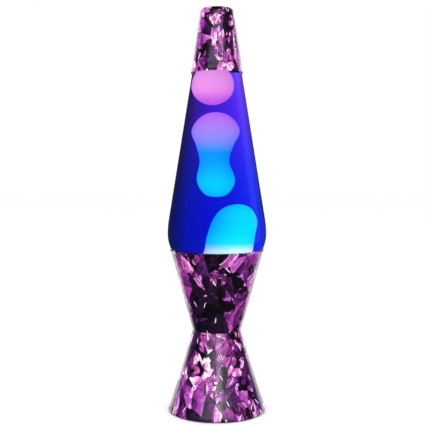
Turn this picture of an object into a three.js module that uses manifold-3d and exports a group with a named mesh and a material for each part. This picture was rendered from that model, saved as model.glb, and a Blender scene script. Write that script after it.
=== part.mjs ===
// A lava lamp: a tapered bottle of dyed liquid and wax, seated in an hourglass base of two spun cones and
// topped with a spun cap. Millimetres, +Z up, +Y is the back. The origin is on the surface that the rubber
// feet rest on, at the lamp's centre line.
import * as THREE from "three";
import { mergeVertices } from "three/addons/utils/BufferGeometryUtils.js";
import Module from "manifold-3d";

const wasm = await Module();
wasm.setup();

// ------------------------------------------------------------------ driving dimensions
// Spun aluminium base and cap
const SHEET = 0.8;
const FOOT_STAND = 1;
const SKIRT_FOOT_R = 45.6;
const SKIRT_HEIGHT = 74;
const SKIRT_SAG = 0.8;
const HEM_WIDTH = 4;
const WAIST_R = 22.6;
const EDGE_BREAK = 0.5;
const CUP_HEIGHT = 74;
const CUP_RIM_R = 43.2;
const RIM_BEAD = 0.3;
const THROAT_R = 14.5;
const CAP_HEIGHT = 58;
const CAP_TOP_R = 14.9;
const CAP_CORNER_R = 3;

// Bottle
const GLASS_WALL = 2.2;
const GLASS_FLOOR = 4;
const PUNT = 2;
const FOOT_ROUND = 4;
const SEAT_CLEARANCE = 0.3;
const BULGE = 3.3;
const BULGE_RISE = 14.4;
const TAPER_EASE = 13;
const GLASS_SHOWN = 161;
const GLASS_TOP_R = 22.6;
const CAP_CLEARANCE = 0.3;
const NECK_START = 14;
const NECK_EASE = 12;
const NECK_R = 12.3;
const LIP_R = 13.3;
const LIP_HEIGHT = 4;
const LIP_ABOVE_EDGE = 38;

// Crown closure
const CROWN_SHEET = 0.5;
const CROWN_CORNER = 1.5;
const CROWN_SKIRT = 5.2;
const CROWN_FLARE = 0.9;
const FLUTES = 21;
const FLUTE_DEPTH = 0.6;
const LINER = 0.9;
const CLOSURE_CLEARANCE = 0.15;

// Wax, liquid and the heat-spreading coil
const FILM = 0.05;
const POOL_DEPTH = 9;
const FILL_ABOVE_EDGE = 16;
const CHANNEL_R = 0.6;
const COIL_RING_R = 21;
const COIL_R = 2.4;
const COIL_WIRE_R = 0.5;
const COIL_TURNS = 18;
const GROOVE_CLEARANCE = 0.7;

// Bulb with an intermediate screw base
const BULB_R = 17.5;
const BULB_LENGTH = 58.7;
const BULB_WALL = 0.6;
const BULB_NECK_CLEARANCE = 0.3;
const BULB_SHELL_R = 8.3;
const BULB_SHELL_LENGTH = 18;
const THREAD_PITCH = 2.82;
const THREAD_DEPTH = 0.55;
const THREAD_SHEET = 0.35;
const THROAT_CLEARANCE = 1;
const BULB_HEADROOM = 10;
const TIP_R = 2.3;
const TIP_FACE_R = 1.6;
const TIP_HEIGHT = 0.8;
const INSULATOR_FACE_R = 2.6;
const INSULATOR_HEIGHT = 2.6;
const SHELL_LIP = 2;
const NECK_DEPTH = 3;
const STEM_R = 2;
const STEM_FLARE_HEIGHT = 6;
const STEM_BELOW_CENTRE = 8;
const FILAMENT_LENGTH = 14;
const FILAMENT_COIL_R = 0.9;
const FILAMENT_WIRE_R = 0.18;
const FILAMENT_TURNS = 11;
const SUPPORT_WIRE_R = 0.35;

// Lampholder, its bracket and fasteners
const HOLDER_HEIGHT = 35;
const HOLDER_WALL = 2.7;
const HOLDER_WEB = 3.5;
const WIREWAY_R = 2;
const CONTACT_HEIGHT = 2.2;
const CONTACT_SHEET = 0.4;
const CONTACT_WIDTH = 4;
const TERMINAL_ABOVE_FOOT = 5;
const TERMINAL_DEPTH = 4;
const THREAD_CLEARANCE = 0.4;
const SHELL_CLEARANCE = 0.2;
const NIPPLE_R = 5;
const NIPPLE_BORE_R = 3.8;
const NIPPLE_LENGTH = 13.5;
const NIPPLE_GRIP = 6.5;
const NIPPLE_NUT_WIDTH = 14;
const NIPPLE_NUT_HEIGHT = 3;
const WASHER = 1;
const BRACKET_SHEET = 1;
const BRACKET_WIDTH = 16;
const BRACKET_GAP = 1.2;
const WALL_GAP = 0.5;
const SCREW_R = 1.5;
const SCREW_CLEARANCE = 0.2;
const SCREW_HEAD_R = 2.75;
const SCREW_HEAD = 1.8;
const SCREW_LENGTH = 6.5;
const SLOT_WIDTH = 0.7;
const SLOT_DEPTH = 0.8;
const NUT_WIDTH = 5.5;
const NUT_HEIGHT = 2.4;

// Bottom cover, feet and cord bushing
const COVER_SHEET = 1.6;
const COVER_CLEARANCE = 0.5;
const VENT_SLOTS = 12;
const VENT_WIDTH = 2.4;
const VENT_LENGTH = 10;
const VENT_INNER_R = 17;
const FEET = 4;
const FOOT_R = 5;
const FOOT_CIRCLE_R = 34;
const FOOT_STEM_R = 2;
const FOOT_BARB_R = 2.9;
const BUSHING_R = 6.5;
const BUSHING_BORE_R = 3.8;
const BUSHING_BODY_R = 4.8;
const BUSHING_FLANGE = 1.6;
const BUSHING_ABOVE_HEM = 11.5;
const BUSHING_GAP = 0.3;

// Facets on round pieces, by size
const ROUND = 32;
const MIDDLING = 16;
const SMALL = 12;

// ------------------------------------------------------------------ levels and radii that follow
const Z_SKIRT = FOOT_STAND;
const Z_WAIST = Z_SKIRT + SKIRT_HEIGHT;
const Z_RIM = Z_WAIST + CUP_HEIGHT;
const Z_WIDEST = Z_RIM + BULGE_RISE;
const Z_CAP_EDGE = Z_RIM + GLASS_SHOWN;
const Z_TOP = Z_CAP_EDGE + CAP_HEIGHT;
const Z_LIP = Z_CAP_EDGE + LIP_ABOVE_EDGE;
const Z_FILL = Z_CAP_EDGE + FILL_ABOVE_EDGE;
const Z_COVER = Z_SKIRT + SHEET;

// The bulb's round part sits over the throat, as low as its glass clears the throat's edge.
const bulbSink = THROAT_R - THROAT_CLEARANCE;
const Z_BULB = Z_WAIST + SHEET + Math.sqrt(BULB_R ** 2 - bulbSink ** 2);
const Z_BULB_TOP = Z_BULB + BULB_R;
const Z_BULB_TIP = Z_BULB_TOP - BULB_LENGTH;
const Z_GLASS_FOOT = Z_BULB_TOP + BULB_HEADROOM;
const Z_GLASS_FLOOR = Z_GLASS_FOOT + GLASS_FLOOR;
const Z_POOL = Z_GLASS_FLOOR + POOL_DEPTH;

// The screw shells nest: bulb neck, bulb shell, lampholder shell, lampholder bore.
const bulbNeckR = BULB_SHELL_R - THREAD_DEPTH - THREAD_SHEET - BULB_NECK_CLEARANCE;
const holderShellR = BULB_SHELL_R + THREAD_CLEARANCE + THREAD_DEPTH + THREAD_SHEET;
const holderBoreR = holderShellR + SHELL_CLEARANCE;
const holderR = holderBoreR + HOLDER_WALL;

const Z_BULB_SHELL = Z_BULB_TIP + TIP_HEIGHT + INSULATOR_HEIGHT;
const Z_BULB_SHELL_TOP = Z_BULB_SHELL + BULB_SHELL_LENGTH;
const Z_WEB = Z_BULB_TIP - CONTACT_HEIGHT;
const Z_HOLDER = Z_WEB - HOLDER_WEB - NIPPLE_GRIP - WALL_GAP;
const Z_HOLDER_TOP = Z_HOLDER + HOLDER_HEIGHT;
const Z_CROSSBAR = Z_HOLDER - BRACKET_SHEET;

const mix = (a, b, t) => a + (b - a) * t;
const slopeWall = (run, rise) => SHEET * Math.hypot(1, run / rise);

/** Outer radius of the skirt at height z: a cone that curves in a little half way up. */
function skirtR(z) {
  const t = (z - Z_SKIRT) / SKIRT_HEIGHT;
  return mix(SKIRT_FOOT_R, WAIST_R, t) - 4 * SKIRT_SAG * t * (1 - t);
}
const skirtWall = slopeWall(SKIRT_FOOT_R - WAIST_R, SKIRT_HEIGHT);
const skirtInnerR = (z) => skirtR(z) - skirtWall;

/** Outer radius of the cup at height z, a plain cone. */
const cupR = (z) => mix(WAIST_R, CUP_RIM_R, (z - Z_WAIST) / CUP_HEIGHT);
const cupInnerR = (z) => cupR(z) - slopeWall(CUP_RIM_R - WAIST_R, CUP_HEIGHT);

const capEdgeR = GLASS_TOP_R + CAP_CLEARANCE + slopeWall(GLASS_TOP_R - CAP_TOP_R, CAP_HEIGHT);
/** Outer radius of the cap at height z, a plain cone. */
const capR = (z) => mix(capEdgeR, CAP_TOP_R, (z - Z_CAP_EDGE) / CAP_HEIGHT);
const capInnerR = (z) => capR(z) - (capEdgeR - GLASS_TOP_R - CAP_CLEARANCE);

/** Outer radius of the bottle at height z: seat cone, bulge, long taper, then the taper inside the cap. */
function glassR(z) {
  const seat = cupInnerR(Z_RIM) - SEAT_CLEARANCE;
  const widest = seat + BULGE;
  if (z <= Z_RIM) return cupInnerR(z) - SEAT_CLEARANCE;
  if (z <= Z_WIDEST) return widest - BULGE * (1 - (z - Z_RIM) / BULGE_RISE) ** 2;
  if (z >= Z_CAP_EDGE) return capInnerR(z) - CAP_CLEARANCE;
  const slope = (widest - GLASS_TOP_R) / (Z_CAP_EDGE - Z_WIDEST - TAPER_EASE / 2);
  const up = z - Z_WIDEST;
  if (up < TAPER_EASE) return widest - (slope * up ** 2) / (2 * TAPER_EASE);
  return widest - slope * (up - TAPER_EASE / 2);
}
const glassInnerR = (z) => glassR(z) - GLASS_WALL;

// ------------------------------------------------------------------ geometry helpers
/** A geometry with its shared vertices merged, as the solid that manifold-3d cuts and joins. */
function solid(geometry) {
  const bare = geometry.clone();
  bare.deleteAttribute("normal");
  bare.deleteAttribute("uv");
  const merged = mergeVertices(bare, 1e-4);
  return new wasm.Manifold(
    new wasm.Mesh({
      numProp: 3,
      vertProperties: new Float32Array(merged.attributes.position.array),
      triVerts: new Uint32Array(merged.index.array),
    }),
  );
}

/** A solid's surface as a three.js geometry. */
function surface(manifold) {
  const { vertProperties, triVerts } = manifold.getMesh();
  const geometry = new THREE.BufferGeometry();
  geometry.setAttribute("position", new THREE.BufferAttribute(vertProperties, 3));
  geometry.setIndex(new THREE.BufferAttribute(triVerts, 1));
  geometry.computeVertexNormals();
  return geometry;
}

/** A shape less each of the others. */
const cut = (geometry, ...tools) =>
  surface(tools.reduce((left, tool) => left.subtract(solid(tool)), solid(geometry)));

/** Evenly spaced heights from low to high, both ends included. */
const levels = (low, high, steps) =>
  Array.from({ length: steps + 1 }, (_, i) => mix(low, high, i / steps));

/** Points [r, z] of a quarter turn that leaves the first point upright and meets the second point level. */
function quarter([r0, z0], [r1, z1], steps) {
  return levels(0, Math.PI / 2, steps).map((a) => [
    r1 + (r0 - r1) * Math.cos(a),
    z0 + (z1 - z0) * Math.sin(a),
  ]);
}

/** Turns an outline of [r, z] points about Z. It closes on itself unless both its ends are on the axis. */
function turned(outline, facets) {
  const ends = [outline[0], outline[outline.length - 1]];
  const ring = ends.some(([r]) => r > 0) ? [...outline, outline[0]] : outline;
  const area = ring.slice(1).reduce((sum, [r, z], i) => sum + ring[i][0] * z - r * ring[i][1], 0);
  const facingOut = area > 0 ? ring : [...ring].reverse();
  const points = facingOut.map(([r, z]) => new THREE.Vector2(r, z));
  return new THREE.LatheGeometry(points, facets).rotateX(Math.PI / 2);
}

/** A plain rod or disc from z0 to z1. */
const rod = (r, z0, z1, facets) => turned([[0, z0], [r, z0], [r, z1], [0, z1]], facets);

/** A ring with a square section. */
const ring = (inner, outer, z0, z1, facets) =>
  turned([[inner, z0], [outer, z0], [outer, z1], [inner, z1]], facets);

/** A round wire along a curve. */
function wire(curve, r, sides, steps) {
  const section = new THREE.Shape();
  for (let i = 0; i < sides; i++) {
    const a = (2 * Math.PI * i) / sides;
    section[i ? "lineTo" : "moveTo"](r * Math.cos(a), r * Math.sin(a));
  }
  return new THREE.ExtrudeGeometry(section, { steps, extrudePath: curve, bevelEnabled: false });
}

/** A hexagonal nut with a round hole, from z0 up, with two of its flats square to X. */
function nut(width, hole, z0, height) {
  const outline = new THREE.Shape();
  for (let i = 0; i < 6; i++) {
    const a = (Math.PI * (i + 0.5)) / 3;
    const r = width / Math.sqrt(3);
    outline[i ? "lineTo" : "moveTo"](r * Math.cos(a), r * Math.sin(a));
  }
  outline.holes.push(new THREE.Path().absarc(0, 0, hole, 0, 2 * Math.PI));
  const options = { depth: height, bevelEnabled: false, curveSegments: SMALL };
  return new THREE.ExtrudeGeometry(outline, options).translate(0, 0, z0);
}

/** A body of wax: round sections threaded on a smooth line through stations of [z, centre x, radius]. */
function waxBody(stations, sections, facets) {
  const line = new THREE.CatmullRomCurve3(
    stations.map(([z, x, r]) => new THREE.Vector3(x, r, z)),
    false,
    "centripetal",
  );
  const centres = levels(0, 1, sections - 1).map((t) => line.getPoint(t));
  const rings = centres.filter(({ y: r }) => r > 0.01);
  const position = rings.flatMap(({ x, y: r, z }) =>
    levels(0, 2 * Math.PI, facets)
      .slice(0, facets)
      .flatMap((a) => [x + r * Math.cos(a), r * Math.sin(a), z]),
  );
  const poles = [centres[0], centres[sections - 1]];
  poles.forEach(({ x, z }) => position.push(x, 0, z));
  const bottom = rings.length * facets;
  const topRing = bottom - facets;
  const index = [];
  for (let i = 0; i < facets; i++) {
    const next = (i + 1) % facets;
    index.push(bottom, next, i, bottom + 1, topRing + i, topRing + next);
    for (let a = 0; a < topRing; a += facets) {
      const b = a + facets;
      index.push(a + i, a + next, b + next, a + i, b + next, b + i);
    }
  }
  const geometry = new THREE.BufferGeometry();
  geometry.setAttribute("position", new THREE.Float32BufferAttribute(position, 3));
  geometry.setIndex(index);
  return geometry;
}

// ------------------------------------------------------------------ finishes
const finish = (color, roughness, metalness, opacity = 1) =>
  new THREE.MeshStandardMaterial({ color, roughness, metalness, opacity, transparent: opacity < 1 });

const printedAluminium = finish("#6b2a78", 0.25, 0.2);
const bottleGlass = finish("#dfe6f2", 0.03, 0, 0.3);
const dyedLiquid = finish("#1a1fb4", 0.05, 0, 0.5);
const wax = finish("#5fb8ff", 0.4, 0);
const pinkWax = finish("#ec97ec", 0.4, 0);
const blackPlastic = finish("#17171a", 0.6, 0);
const rubber = finish("#101012", 0.85, 0);
const zincSteel = finish("#b9bcc0", 0.4, 1);
const springSteel = finish("#a8abb0", 0.3, 1);
const brass = finish("#c9a24d", 0.35, 1);
const nickelShell = finish("#c8c4ba", 0.35, 1);
const porcelain = finish("#ece8df", 0.3, 0);
const clearGlass = finish("#f4f7fa", 0.02, 0, 0.3);
const blackGlass = finish("#1b1420", 0.15, 0);
const tungsten = finish("#5a5a5c", 0.5, 1);
const solder = finish("#9fa3a6", 0.45, 1);
const crownTin = finish("#c5a864", 0.35, 1);
const linerPlastic = finish("#e9e9e4", 0.6, 0);

const lamp = new THREE.Group();

/** Adds one named sub-part to the lamp, or to a turned group in it. */
function add(name, geometry, material, parent = lamp) {
  const mesh = new THREE.Mesh(geometry, material);
  mesh.name = name;
  parent.add(mesh);
  return mesh;
}

// ------------------------------------------------------------------ base: skirt and cord bushing
// The bushing's axis is square to the skirt's wall, on the back.
const bushingZ = Z_SKIRT + BUSHING_ABOVE_HEM;
const wallStep = 1;
const wallLean = Math.atan((skirtR(bushingZ - wallStep) - skirtR(bushingZ + wallStep)) / (2 * wallStep));
const bushing = new THREE.Group();
bushing.position.set(0, skirtR(bushingZ), bushingZ);
bushing.rotation.x = wallLean - Math.PI / 2;
bushing.updateMatrix();
lamp.add(bushing);
// How far the skirt's round wall falls away from the bushing's flat flange.
const wallSag = BUSHING_R ** 2 / (2 * skirtR(bushingZ));

function makeSkirt() {
  const heights = levels(Z_SKIRT + SHEET, Z_WAIST - SHEET, 8);
  const outside = heights.map((z) => [skirtR(z), z]);
  const inside = heights.map((z) => [skirtInnerR(z), z]).reverse();
  const hemR = SKIRT_FOOT_R - HEM_WIDTH;
  const shell = turned(
    [
      [hemR, Z_SKIRT + SHEET],
      [hemR, Z_SKIRT],
      [SKIRT_FOOT_R - EDGE_BREAK, Z_SKIRT],
      [skirtR(Z_SKIRT + EDGE_BREAK / 2), Z_SKIRT + EDGE_BREAK / 2],
      ...outside,
      [skirtR(Z_WAIST - EDGE_BREAK), Z_WAIST - EDGE_BREAK],
      [WAIST_R - EDGE_BREAK, Z_WAIST],
      [THROAT_R, Z_WAIST],
      [THROAT_R, Z_WAIST - SHEET],
      ...inside,
    ],
    ROUND,
  );
  const hole = rod(BUSHING_BODY_R + BUSHING_GAP, -BUSHING_R, BUSHING_R, MIDDLING);
  hole.applyMatrix4(bushing.matrix);
  return cut(shell, hole, ...screwHoles(Z_WAIST - 2 * SHEET, Z_WAIST + SHEET));
}

function makeCup() {
  const floor = Z_WAIST + SHEET;
  const shell = turned(
    [
      [THROAT_R, Z_WAIST],
      [WAIST_R - EDGE_BREAK, Z_WAIST],
      [cupR(Z_WAIST + EDGE_BREAK), Z_WAIST + EDGE_BREAK],
      [cupR(Z_RIM - 2 * SHEET), Z_RIM - 2 * SHEET],
      [CUP_RIM_R + RIM_BEAD, Z_RIM - SHEET],
      [CUP_RIM_R, Z_RIM],
      [cupInnerR(Z_RIM), Z_RIM],
      [cupInnerR(floor), floor],
      [THROAT_R, floor],
    ],
    ROUND,
  );
  return cut(shell, ...screwHoles(Z_WAIST - SHEET, Z_WAIST + 2 * SHEET));
}

// The bracket's legs clear the lampholder and the bulb's glass in the throat. The screws stand midway
// between the throat and the cup's wall, or further out where the legs need it.
const legInR = Math.max(holderR + BRACKET_GAP, bulbSink + SCREW_CLEARANCE);
const legOutR = legInR + BRACKET_SHEET;
const screwX = Math.max(
  (THROAT_R + cupInnerR(Z_WAIST + SHEET)) / 2,
  legOutR + NUT_WIDTH / 2 + SCREW_CLEARANCE,
);
const sides = [-1, 1];
function screwHoles(z0, z1) {
  const hole = rod(SCREW_R + SCREW_CLEARANCE, z0, z1, SMALL);
  return sides.map((side) => hole.clone().translate(side * screwX, 0, 0));
}

function makeBushing() {
  // Local +Z points out of the wall, and z = 0 is the wall's outer face.
  const innerFace = -SHEET - wallSag - BUSHING_GAP;
  return turned(
    [
      [BUSHING_BORE_R, innerFace - BUSHING_FLANGE],
      [BUSHING_R, innerFace - BUSHING_FLANGE],
      [BUSHING_R, innerFace],
      [BUSHING_BODY_R, innerFace],
      [BUSHING_BODY_R, BUSHING_GAP],
      [BUSHING_R, BUSHING_GAP],
      [BUSHING_R - EDGE_BREAK, BUSHING_GAP + BUSHING_FLANGE],
      [BUSHING_BORE_R, BUSHING_GAP + BUSHING_FLANGE],
    ],
    MIDDLING,
  );
}

// ------------------------------------------------------------------ base: bottom cover and feet
const coverR = skirtInnerR(Z_COVER + COVER_SHEET) - COVER_CLEARANCE;
const footPlaces = Array.from({ length: FEET }, (_, i) => {
  const a = (2 * Math.PI * (i + 0.5)) / FEET;
  return [FOOT_CIRCLE_R * Math.cos(a), FOOT_CIRCLE_R * Math.sin(a)];
});

function makeCover() {
  const disc = new THREE.Shape().absarc(0, 0, coverR, 0, 2 * Math.PI);
  const half = VENT_WIDTH / 2;
  for (let i = 0; i < VENT_SLOTS; i++) {
    const turn = (2 * Math.PI * i) / VENT_SLOTS;
    const slot = new THREE.Path();
    const ends = [VENT_INNER_R + half, VENT_INNER_R + VENT_LENGTH - half];
    const [near, far] = ends.map((r) => [r * Math.cos(turn), r * Math.sin(turn)]);
    slot.absarc(...far, half, turn - Math.PI / 2, turn + Math.PI / 2);
    slot.absarc(...near, half, turn + Math.PI / 2, turn + (3 * Math.PI) / 2);
    disc.holes.push(slot);
  }
  footPlaces.forEach(([x, y]) => {
    disc.holes.push(new THREE.Path().absarc(x, y, FOOT_STEM_R + SCREW_CLEARANCE, 0, 2 * Math.PI));
  });
  const options = { depth: COVER_SHEET, bevelEnabled: false, curveSegments: 6 };
  const fineDisc = new THREE.ExtrudeGeometry(disc, options);
  return fineDisc.translate(0, 0, Z_COVER);
}

function makeFoot() {
  const stemTop = Z_COVER + COVER_SHEET;
  return turned(
    [
      [0, 0],
      [FOOT_R - EDGE_BREAK, 0],
      [FOOT_R, EDGE_BREAK],
      [FOOT_R, Z_COVER],
      [FOOT_STEM_R, Z_COVER],
      [FOOT_STEM_R, stemTop],
      [FOOT_BARB_R, stemTop],
      [FOOT_STEM_R / 2, stemTop + FOOT_STEM_R],
      [0, stemTop + FOOT_STEM_R],
    ],
    SMALL,
  );
}

// ------------------------------------------------------------------ base: lampholder and its bracket
const threadRings = Math.floor((BULB_SHELL_LENGTH - THREAD_PITCH) / THREAD_PITCH);

/** Radii of a rolled screw shell's crests and roots, as [r, z] from z0 up. */
function threadLine(crest, z0) {
  const line = [];
  for (let i = 0; i < threadRings; i++) {
    const z = z0 + (i + 0.5) * THREAD_PITCH;
    line.push([crest - THREAD_DEPTH, z], [crest, z + THREAD_PITCH / 2]);
  }
  return line;
}

function makeHolderBody() {
  const body = turned(
    [
      [NIPPLE_R + FILM, Z_HOLDER],
      [holderR - 1, Z_HOLDER],
      [holderR, Z_HOLDER + 1],
      [holderR, Z_HOLDER_TOP - 1],
      [holderR - 1, Z_HOLDER_TOP],
      [holderBoreR, Z_HOLDER_TOP],
      [holderBoreR, Z_WEB],
      [WIREWAY_R, Z_WEB],
      [WIREWAY_R, Z_WEB - HOLDER_WEB],
      [NIPPLE_R + FILM, Z_WEB - HOLDER_WEB],
    ],
    MIDDLING,
  );
  // Wires rise through the wireway in the web, beside the centre contact.
  const screwHole = (side) =>
    rod(SCREW_R + SCREW_CLEARANCE, -TERMINAL_DEPTH, 1, SMALL).applyMatrix4(terminals[side].matrix);
  return cut(body, ...sides.map(screwHole));
}

// A terminal screw enters the lampholder from each side. Local +Z points out of the lampholder.
const terminalZ = Z_HOLDER + TERMINAL_ABOVE_FOOT;
const terminals = Object.fromEntries(
  sides.map((side) => {
    const place = new THREE.Group();
    place.position.set(0, side * holderR, terminalZ);
    place.rotation.x = (-side * Math.PI) / 2;
    place.updateMatrix();
    lamp.add(place);
    return [side, place];
  }),
);

function makeScrew(z0, length) {
  const screw = turned(
    [
      [0, z0 - length],
      [SCREW_R, z0 - length],
      [SCREW_R, z0],
      [SCREW_HEAD_R, z0],
      [SCREW_HEAD_R, z0 + SCREW_HEAD / 2],
      [SCREW_HEAD_R * 0.7, z0 + SCREW_HEAD],
      [0, z0 + SCREW_HEAD],
    ],
    SMALL,
  );
  const slot = new THREE.BoxGeometry(3 * SCREW_HEAD_R, SLOT_WIDTH, SLOT_DEPTH * 2);
  return cut(screw, slot.translate(0, 0, z0 + SCREW_HEAD));
}

function makeHolderShell() {
  const crest = holderShellR;
  const outside = threadLine(crest, Z_BULB_SHELL);
  const inside = outside.map(([r, z]) => [r - THREAD_SHEET, z]).reverse();
  const top = Z_HOLDER_TOP - 1;
  const foot = Z_WEB + FILM;
  return turned(
    [
      [crest, foot],
      ...outside,
      [crest, top],
      [crest - THREAD_SHEET, top],
      ...inside,
      [crest - THREAD_SHEET, foot],
    ],
    MIDDLING,
  );
}

function makeContact() {
  // A bent brass tongue: it lies on the web beside the wireway, then rises to meet the bulb's tip.
  const thick = CONTACT_SHEET;
  const reach = holderShellR - 2 * THREAD_DEPTH;
  const top = CONTACT_HEIGHT - FILM;
  const bend = 2 * WIREWAY_R;
  const outline = [
    [-reach, 0],
    [-bend, 0],
    [-WIREWAY_R, top - thick],
    [WIREWAY_R, top - thick],
    [WIREWAY_R, top],
    [-WIREWAY_R - thick / 2, top],
    [-bend - thick / 2, thick],
    [-reach, thick],
  ];
  const strip = new THREE.Shape(outline.map(([x, z]) => new THREE.Vector2(x, z)));
  const tongue = new THREE.ExtrudeGeometry(strip, { depth: CONTACT_WIDTH, bevelEnabled: false });
  return tongue.rotateX(Math.PI / 2).translate(0, CONTACT_WIDTH / 2, Z_WEB);
}

function makeNipple() {
  const top = Z_HOLDER + NIPPLE_GRIP;
  return ring(NIPPLE_BORE_R, NIPPLE_R, top - NIPPLE_LENGTH, top, MIDDLING);
}

function makeBracket() {
  // A strap bent into a U with outward ears, which the two screws clamp under the skirt's land.
  const earTop = Z_WAIST - SHEET;
  const earUnder = earTop - BRACKET_SHEET;
  const earR = skirtInnerR(earTop) - WALL_GAP;
  const half = [
    [legInR, Z_CROSSBAR + BRACKET_SHEET], [legInR, earTop], [earR, earTop],
    [earR, earUnder], [legOutR, earUnder], [legOutR, Z_CROSSBAR],
  ];
  const mirrored = half.map(([x, z]) => [-x, z]).reverse();
  const outline = new THREE.Shape([...half, ...mirrored].map(([x, z]) => new THREE.Vector2(x, z)));
  const strap = new THREE.ExtrudeGeometry(outline, { depth: BRACKET_WIDTH, bevelEnabled: false })
    .rotateX(Math.PI / 2)
    .translate(0, BRACKET_WIDTH / 2, 0);
  const within = solid(rod(earR, Z_CROSSBAR - 1, earTop + 1, ROUND));
  return cut(
    surface(solid(strap).intersect(within)),
    rod(NIPPLE_R + SCREW_CLEARANCE, Z_CROSSBAR - 1, Z_HOLDER + 1, MIDDLING),
    ...screwHoles(earUnder - 1, earTop + 1),
  );
}

// ------------------------------------------------------------------ bulb
/** The bulb's glass as [r, z] points, set in by a wall: the neck, a funnel, then the round part. */
function bulbOutline(wall) {
  const r = BULB_R - wall;
  const leave = Math.PI / 4;
  const round = levels(-leave, Math.PI / 2, 7).map((a) => [r * Math.cos(a), Z_BULB + r * Math.sin(a)]);
  round[round.length - 1][0] = 0;
  const neck = bulbNeckR - wall;
  return [[neck, Z_BULB_SHELL_TOP - NECK_DEPTH], [neck, Z_BULB_SHELL_TOP], ...round];
}

function makeEnvelope() {
  return turned([...bulbOutline(0), ...bulbOutline(BULB_WALL).reverse()], MIDDLING);
}

function makeBulbShell() {
  const outside = threadLine(BULB_SHELL_R, Z_BULB_SHELL);
  const inside = outside.map(([r, z]) => [r - THREAD_SHEET, z]).reverse();
  const lip = BULB_SHELL_R - THREAD_DEPTH;
  return turned(
    [
      [lip - SHELL_LIP, Z_BULB_SHELL],
      [lip, Z_BULB_SHELL + THREAD_SHEET],
      ...outside,
      [lip, Z_BULB_SHELL_TOP],
      [lip - THREAD_SHEET, Z_BULB_SHELL_TOP],
      ...inside,
      [lip - THREAD_SHEET, Z_BULB_SHELL + 2 * THREAD_SHEET],
      [lip - SHELL_LIP, Z_BULB_SHELL + THREAD_SHEET],
    ],
    MIDDLING,
  );
}

function makeInsulator() {
  const rim = BULB_SHELL_R - THREAD_DEPTH - SHELL_LIP - FILM;
  const under = Z_BULB_TIP + TIP_HEIGHT;
  const top = Z_BULB_SHELL + 1;
  const outline = [[0, under], [INSULATOR_FACE_R, under], [rim, Z_BULB_SHELL - FILM], [rim, top], [0, top]];
  return turned(outline, MIDDLING);
}

function makeTip() {
  const top = Z_BULB_TIP + TIP_HEIGHT;
  return turned([[0, Z_BULB_TIP], [TIP_FACE_R, Z_BULB_TIP], [TIP_R, top], [0, top]], SMALL);
}

const filamentHalf = FILAMENT_LENGTH / 2;
const stemTop = Z_BULB - STEM_BELOW_CENTRE;
function makeStem() {
  const flare = bulbNeckR - BULB_WALL - BULB_NECK_CLEARANCE;
  const foot = Z_BULB_SHELL_TOP - NECK_DEPTH + 1;
  const waist = [1.2 * STEM_R, foot + STEM_FLARE_HEIGHT];
  return turned([[0, foot], [flare, foot], waist, [STEM_R, stemTop], [0, stemTop]], MIDDLING);
}

function makeSupport(side) {
  const points = [
    new THREE.Vector3(side * (STEM_R - 2 * SUPPORT_WIRE_R), 0, stemTop),
    new THREE.Vector3(side * 1.25 * STEM_R, 0, mix(stemTop, Z_BULB, 0.4)),
    new THREE.Vector3(side * (filamentHalf + 2 * SUPPORT_WIRE_R), 0, Z_BULB),
  ];
  return wire(new THREE.CatmullRomCurve3(points), SUPPORT_WIRE_R, 6, 6);
}

function makeFilament() {
  const r = FILAMENT_COIL_R;
  const axisZ = Z_BULB + SUPPORT_WIRE_R + FILM + r;
  class Coil extends THREE.Curve {
    getPoint(t) {
      const a = 2 * Math.PI * FILAMENT_TURNS * t;
      const x = mix(-filamentHalf, filamentHalf, t);
      return new THREE.Vector3(x, r * Math.cos(a), axisZ + r * Math.sin(a));
    }
  }
  return wire(new Coil(), FILAMENT_WIRE_R, 4, FILAMENT_TURNS * 6);
}

// ------------------------------------------------------------------ bottle and closure
const footR = glassR(Z_GLASS_FOOT + FOOT_ROUND) - FOOT_ROUND;

function makeBottle() {
  const lipZ = Z_LIP - LIP_HEIGHT;
  const neckZ = Z_CAP_EDGE + NECK_START;
  const heights = [
    Z_GLASS_FOOT + FOOT_ROUND, Z_RIM, ...levels(Z_RIM, Z_WIDEST, 4).slice(1),
    ...levels(Z_WIDEST, Z_WIDEST + TAPER_EASE, 3).slice(1), Z_CAP_EDGE, neckZ,
  ];
  const body = heights.map((z) => [glassR(z), z]);
  const bore = NECK_R - GLASS_WALL;
  // The shoulder turns in to the neck from the lean that it has inside the cap.
  const lean = (capR(neckZ) - capR(neckZ + NECK_EASE)) / NECK_EASE;
  const leaned = ([r, z]) => [r - lean * (z - neckZ), z];
  const shoulder = (r, neckR, rise) =>
    quarter([r, neckZ], [neckR + lean * rise, neckZ + rise], 4).map(leaned);
  const neck = shoulder(glassR(neckZ), NECK_R, NECK_EASE).slice(1);
  const innerNeck = shoulder(glassInnerR(neckZ), bore, NECK_EASE - GLASS_WALL).reverse();
  const innerFoot = Z_GLASS_FLOOR + FOOT_ROUND;
  const hollow = heights.slice(1).map((z) => [glassInnerR(z), z]).reverse();
  return turned(
    [
      [0, Z_GLASS_FOOT + PUNT],
      [footR * 0.8, Z_GLASS_FOOT + PUNT * 0.4],
      [footR - 1, Z_GLASS_FOOT],
      [footR + 1, Z_GLASS_FOOT],
      ...body,
      ...neck,
      [NECK_R, lipZ - 1],
      [LIP_R, lipZ],
      [LIP_R, Z_LIP - 1],
      [LIP_R - 1, Z_LIP],
      [bore, Z_LIP],
      ...innerNeck,
      ...hollow.slice(1),
      [glassInnerR(innerFoot), innerFoot],
      [glassInnerR(innerFoot) - FOOT_ROUND / 2, Z_GLASS_FLOOR],
      [0, Z_GLASS_FLOOR],
    ],
    ROUND,
  );
}

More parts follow.
